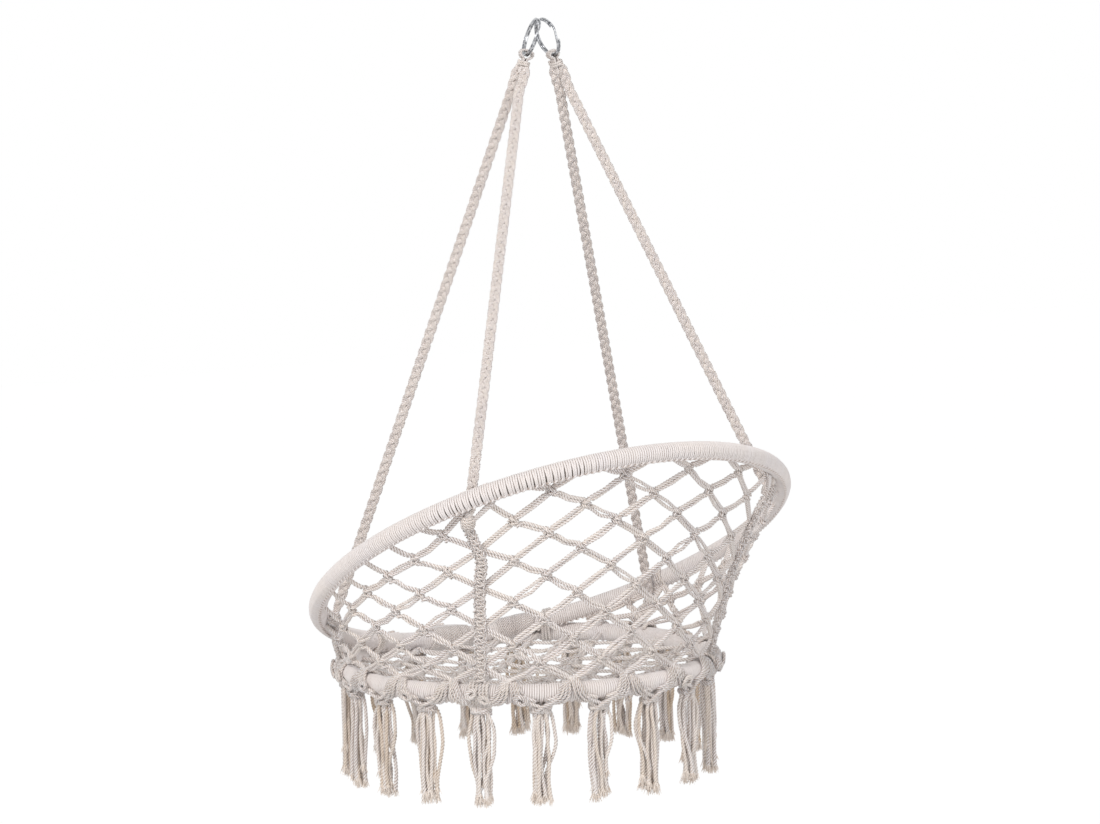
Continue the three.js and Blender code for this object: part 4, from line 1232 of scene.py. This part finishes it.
tassel_tips = []
for number_of_tassel in range(1, tassel_count + 1):
    column = 2 * number_of_tassel - 1
    at_stay = column in stay_columns or column - columns_a_turn in stay_columns
    angle = column * column_angle
    tangent, outward, normal = seat_hoop.tangent(angle), seat_hoop.outward(angle), seat_hoop.normal
    gather = seat_hoop.point(angle) - normal * gather_depth
    routes = []

    def below(x, y, z):
        """A place by the tassel's knot: along the hoop, outwards and up, in millimetres."""
        return gather + (tangent * x + outward * y + normal * z) * mm

    # the bundles from both sides: every other cord runs through under the knot, the rest dive into it
    for k in range(cords_a_side):
        arrivals = []
        for side in (-1, 1):
            line = swag(column + side, -side, k)
            arrivals.append([*line, below(side * (13.5 - 1.2 * k), 5.5 - 0.5 * k, 2.2 * k - 1)])
        if k % 2:
            low = below(random.uniform(-2, 2), 9.5 - k, 1.6 * k - 7)
            routes.append([*arrivals[0], low, *reversed(arrivals[1])])
        else:
            for side, line in zip((-1, 1), arrivals):
                routes.append([*line, below(side * 6, 2, -3), below(side * 3, 0, -12)])
    for side in (-1, 1):
        if at_stay:
            # the stay's cords come down over the hoop and go into the knot
            for wide in (2.6 * side, 7.8 * side, 13 * side):
                line = round_rim(angle, [(wide, turn, 1.5) for turn in (92, 60, 28, -4, -36, -62)])
                routes.append([*line, below(wide * 0.8, 5, 4), below(wide * 0.6, 2, -8)])
        else:
            # the ends of the seat net's cords come round from the inner side and go into the knot
            for wide in (3.2 * side, 8.2 * side):
                line = round_rim(angle, [(wide, turn, 0) for turn in (-160, -128, -100)])
                routes.append([*line, below(wide * 0.8, -2, 2), below(wide * 0.6, -1, -8)])
            # two cords cross in front of the knot
            lift = 4 if side == 1 else 0
            routes.append([
                *round_rim(angle, ((side * 23, -22, 2), (side * 13, -48, 2.6))),
                below(side * 3, 10.5 + lift, 2.5),
                below(-side * 6.5, 10 + lift * 0.4, -4),
                below(-side * 8.5, 6, -11),
                below(-side * 6, 3, -20),
            ])
    if at_stay:
        routes.append(flat_coil(angle, -9 * mm, 6, 0.5, 9.5 * mm))
        routes.append(flat_coil(angle, 9 * mm, -18, -0.4, 8.5 * mm))
    elif random.random() < 0.5:
        aside, turn, tilt = -random.uniform(24, 34) * mm, random.uniform(-22, 0), random.uniform(-0.6, 0.6)
        routes.append(flat_coil(angle, aside, turn, tilt, 11 * mm))
    # one cord bound round the neck
    lean = random.uniform(-0.25, 0.25)
    neck = []
    for k in range(2 * neck_steps + 5):
        a = 2 * math.pi * k / neck_steps + 1
        slant = 0.34 if k < 17 else -0.22
        rise = (lean + slant) * 8 * math.cos(a) + 1.6 * math.sin(2 * a)
        height = -4.2 + rise - 1.1 * k / neck_steps
        neck.append(below(neck_half_width * math.cos(a), neck_half_depth * math.sin(a), height))
    routes.append(neck)
    # the loose ends: they hang in three bunches, and a few of them bow out or end early
    # a tassel facing away from the camera may get browner cords: painted shade
    most_tone = rear_painted_shade_tone if -np.dot(outward, view_back) > rear_from else front_tone
    loose = int(random.integers(11, 14))
    bowed = set(random.choice(loose, 3, replace=False))
    early = set(random.choice(loose, 2, replace=False))
    bunches = random.uniform(-13, -6), random.uniform(-3, 3), random.uniform(6, 13)
    for k in range(loose):
        turn = 2.4 * k + 0.4
        spread = math.sqrt((k + 0.5) / loose)
        x0, y0 = root_half_width * spread * math.cos(turn), root_half_depth * spread * math.sin(turn)
        x1 = x0 * random.uniform(0.9, 1.6) + random.uniform(-4, 4)
        y1 = y0 * 1.5 + random.uniform(-2, 2)
        length = (tassel_length - gather_depth) / mm + random.uniform(-13, 1)
        if k in early:
            length -= random.uniform(8, 38)
        bow = (random.uniform(9, 19) if k in bowed else random.uniform(-1, 2.5)) * math.copysign(1, x0)
        sway = random.uniform(-3, 3)
        bunch = bunches[int(x0 > -3.5) + int(x0 > 3.5)]
        line, girths = [], []
        for share in hang_shares:
            ease = min(1, share * 1.5) ** 0.8
            x = x0 + (x1 - x0) * ease
            x += (bunch - x) * 0.5 * math.sin(math.pi * share)
            x += bow * math.sin(math.pi * min(1, share * 1.3) ** 0.8)
            x += 2.2 * math.sin(8 * share + 2.1 * k) * share
            x += 1.3 * math.sin(17 * share + 1.3 * k) * (1 - share)
            y = y0 + (y1 - y0) * ease + sway * math.sin(5 * share + k)
            line.append(below(x, y, -share * length))
            girths.append(1 + 0.25 * max(0, share - 0.85) / 0.15)
        line[0] = below(x0 * 0.8, y0 * 0.8, 3)
        routes.append((line, girths, most_tone))
        tassel_tips.append(tuple(line[-1]))
    name = f"tassel_{number_of_tassel:02d}"
    lay_cords(name + "_cords", routes, tassel_cord, replaced=[name], ply_depth=tassel_ply_depth)

# thin fibres that spread from every loose end
root_spread = 2.4 * mm
root_rise = 4 * mm
fringe_tree, nodes, given = new_tree("frayed ends", {
    "Fibre length": 0.014, "Fibre radius": 0.0004, "Spread": 0.5, "Fibres an end": 16, "Tone": 1.0, "Seed": 5,
})
many = nodes.add("GeometryNodeDuplicateElements", {
    "Geometry": given["Geometry"], "Amount": given["Fibres an end"],
}, domain="POINT")
fibre = nodes.add("GeometryNodeMeshCone", {
    "Vertices": 3, "Side Segments": 2, "Radius Top": given["Fibre radius"] * 0.4,
    "Radius Bottom": given["Fibre radius"], "Depth": given["Fibre length"],
})
number = nodes.add("GeometryNodeInputIndex")
chances = []
for seed, low, high in ((0, 0.0, 2 * math.pi), (1, 0.0, 1.0), (2, 0.55, 1.2)):
    inputs = {"Min_001": low, "Max_001": high, "ID": number, "Seed": given["Seed"] + seed}
    chances.append(nodes.add("FunctionNodeRandomValue", inputs, data_type="FLOAT")["Value_001"])
bearing, slope, stretch = chances
x, y = bearing.cosine() * slope, bearing.sine() * slope
lean_way = nodes.vector(x * given["Spread"], y * given["Spread"], -1.0)
root_shift = nodes.vector(x * root_spread, y * root_spread, root_rise)
grown = nodes.add("GeometryNodeInstanceOnPoints", {
    "Points": nodes.add("GeometryNodeSetPosition", {"Geometry": many, "Offset": root_shift}),
    "Instance": fibre,
    "Rotation": nodes.add("FunctionNodeAlignRotationToVector", {"Vector": lean_way}, axis="Z"),
    "Scale": nodes.vector(1.0, 1.0, stretch),
})
end_tree(nodes, stored(nodes, grown, "tone", given["Tone"], domain="INSTANCE"), given["Material"])

tips = bpy.data.meshes.new("tassel_fraying")
tips.from_pydata(tassel_tips, [], [])
fraying = linked("tassel_fraying", tips)
with_tree(fraying, fringe_tree, {
    "Fibre length": 13 * mm, "Fibre radius": 0.8 * mm, "Spread": 0.5, "Fibres an end": 34,
    "Tone": 1.4, "Seed": 5, "Material": natural_cotton,
})
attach(fraying, "chair")
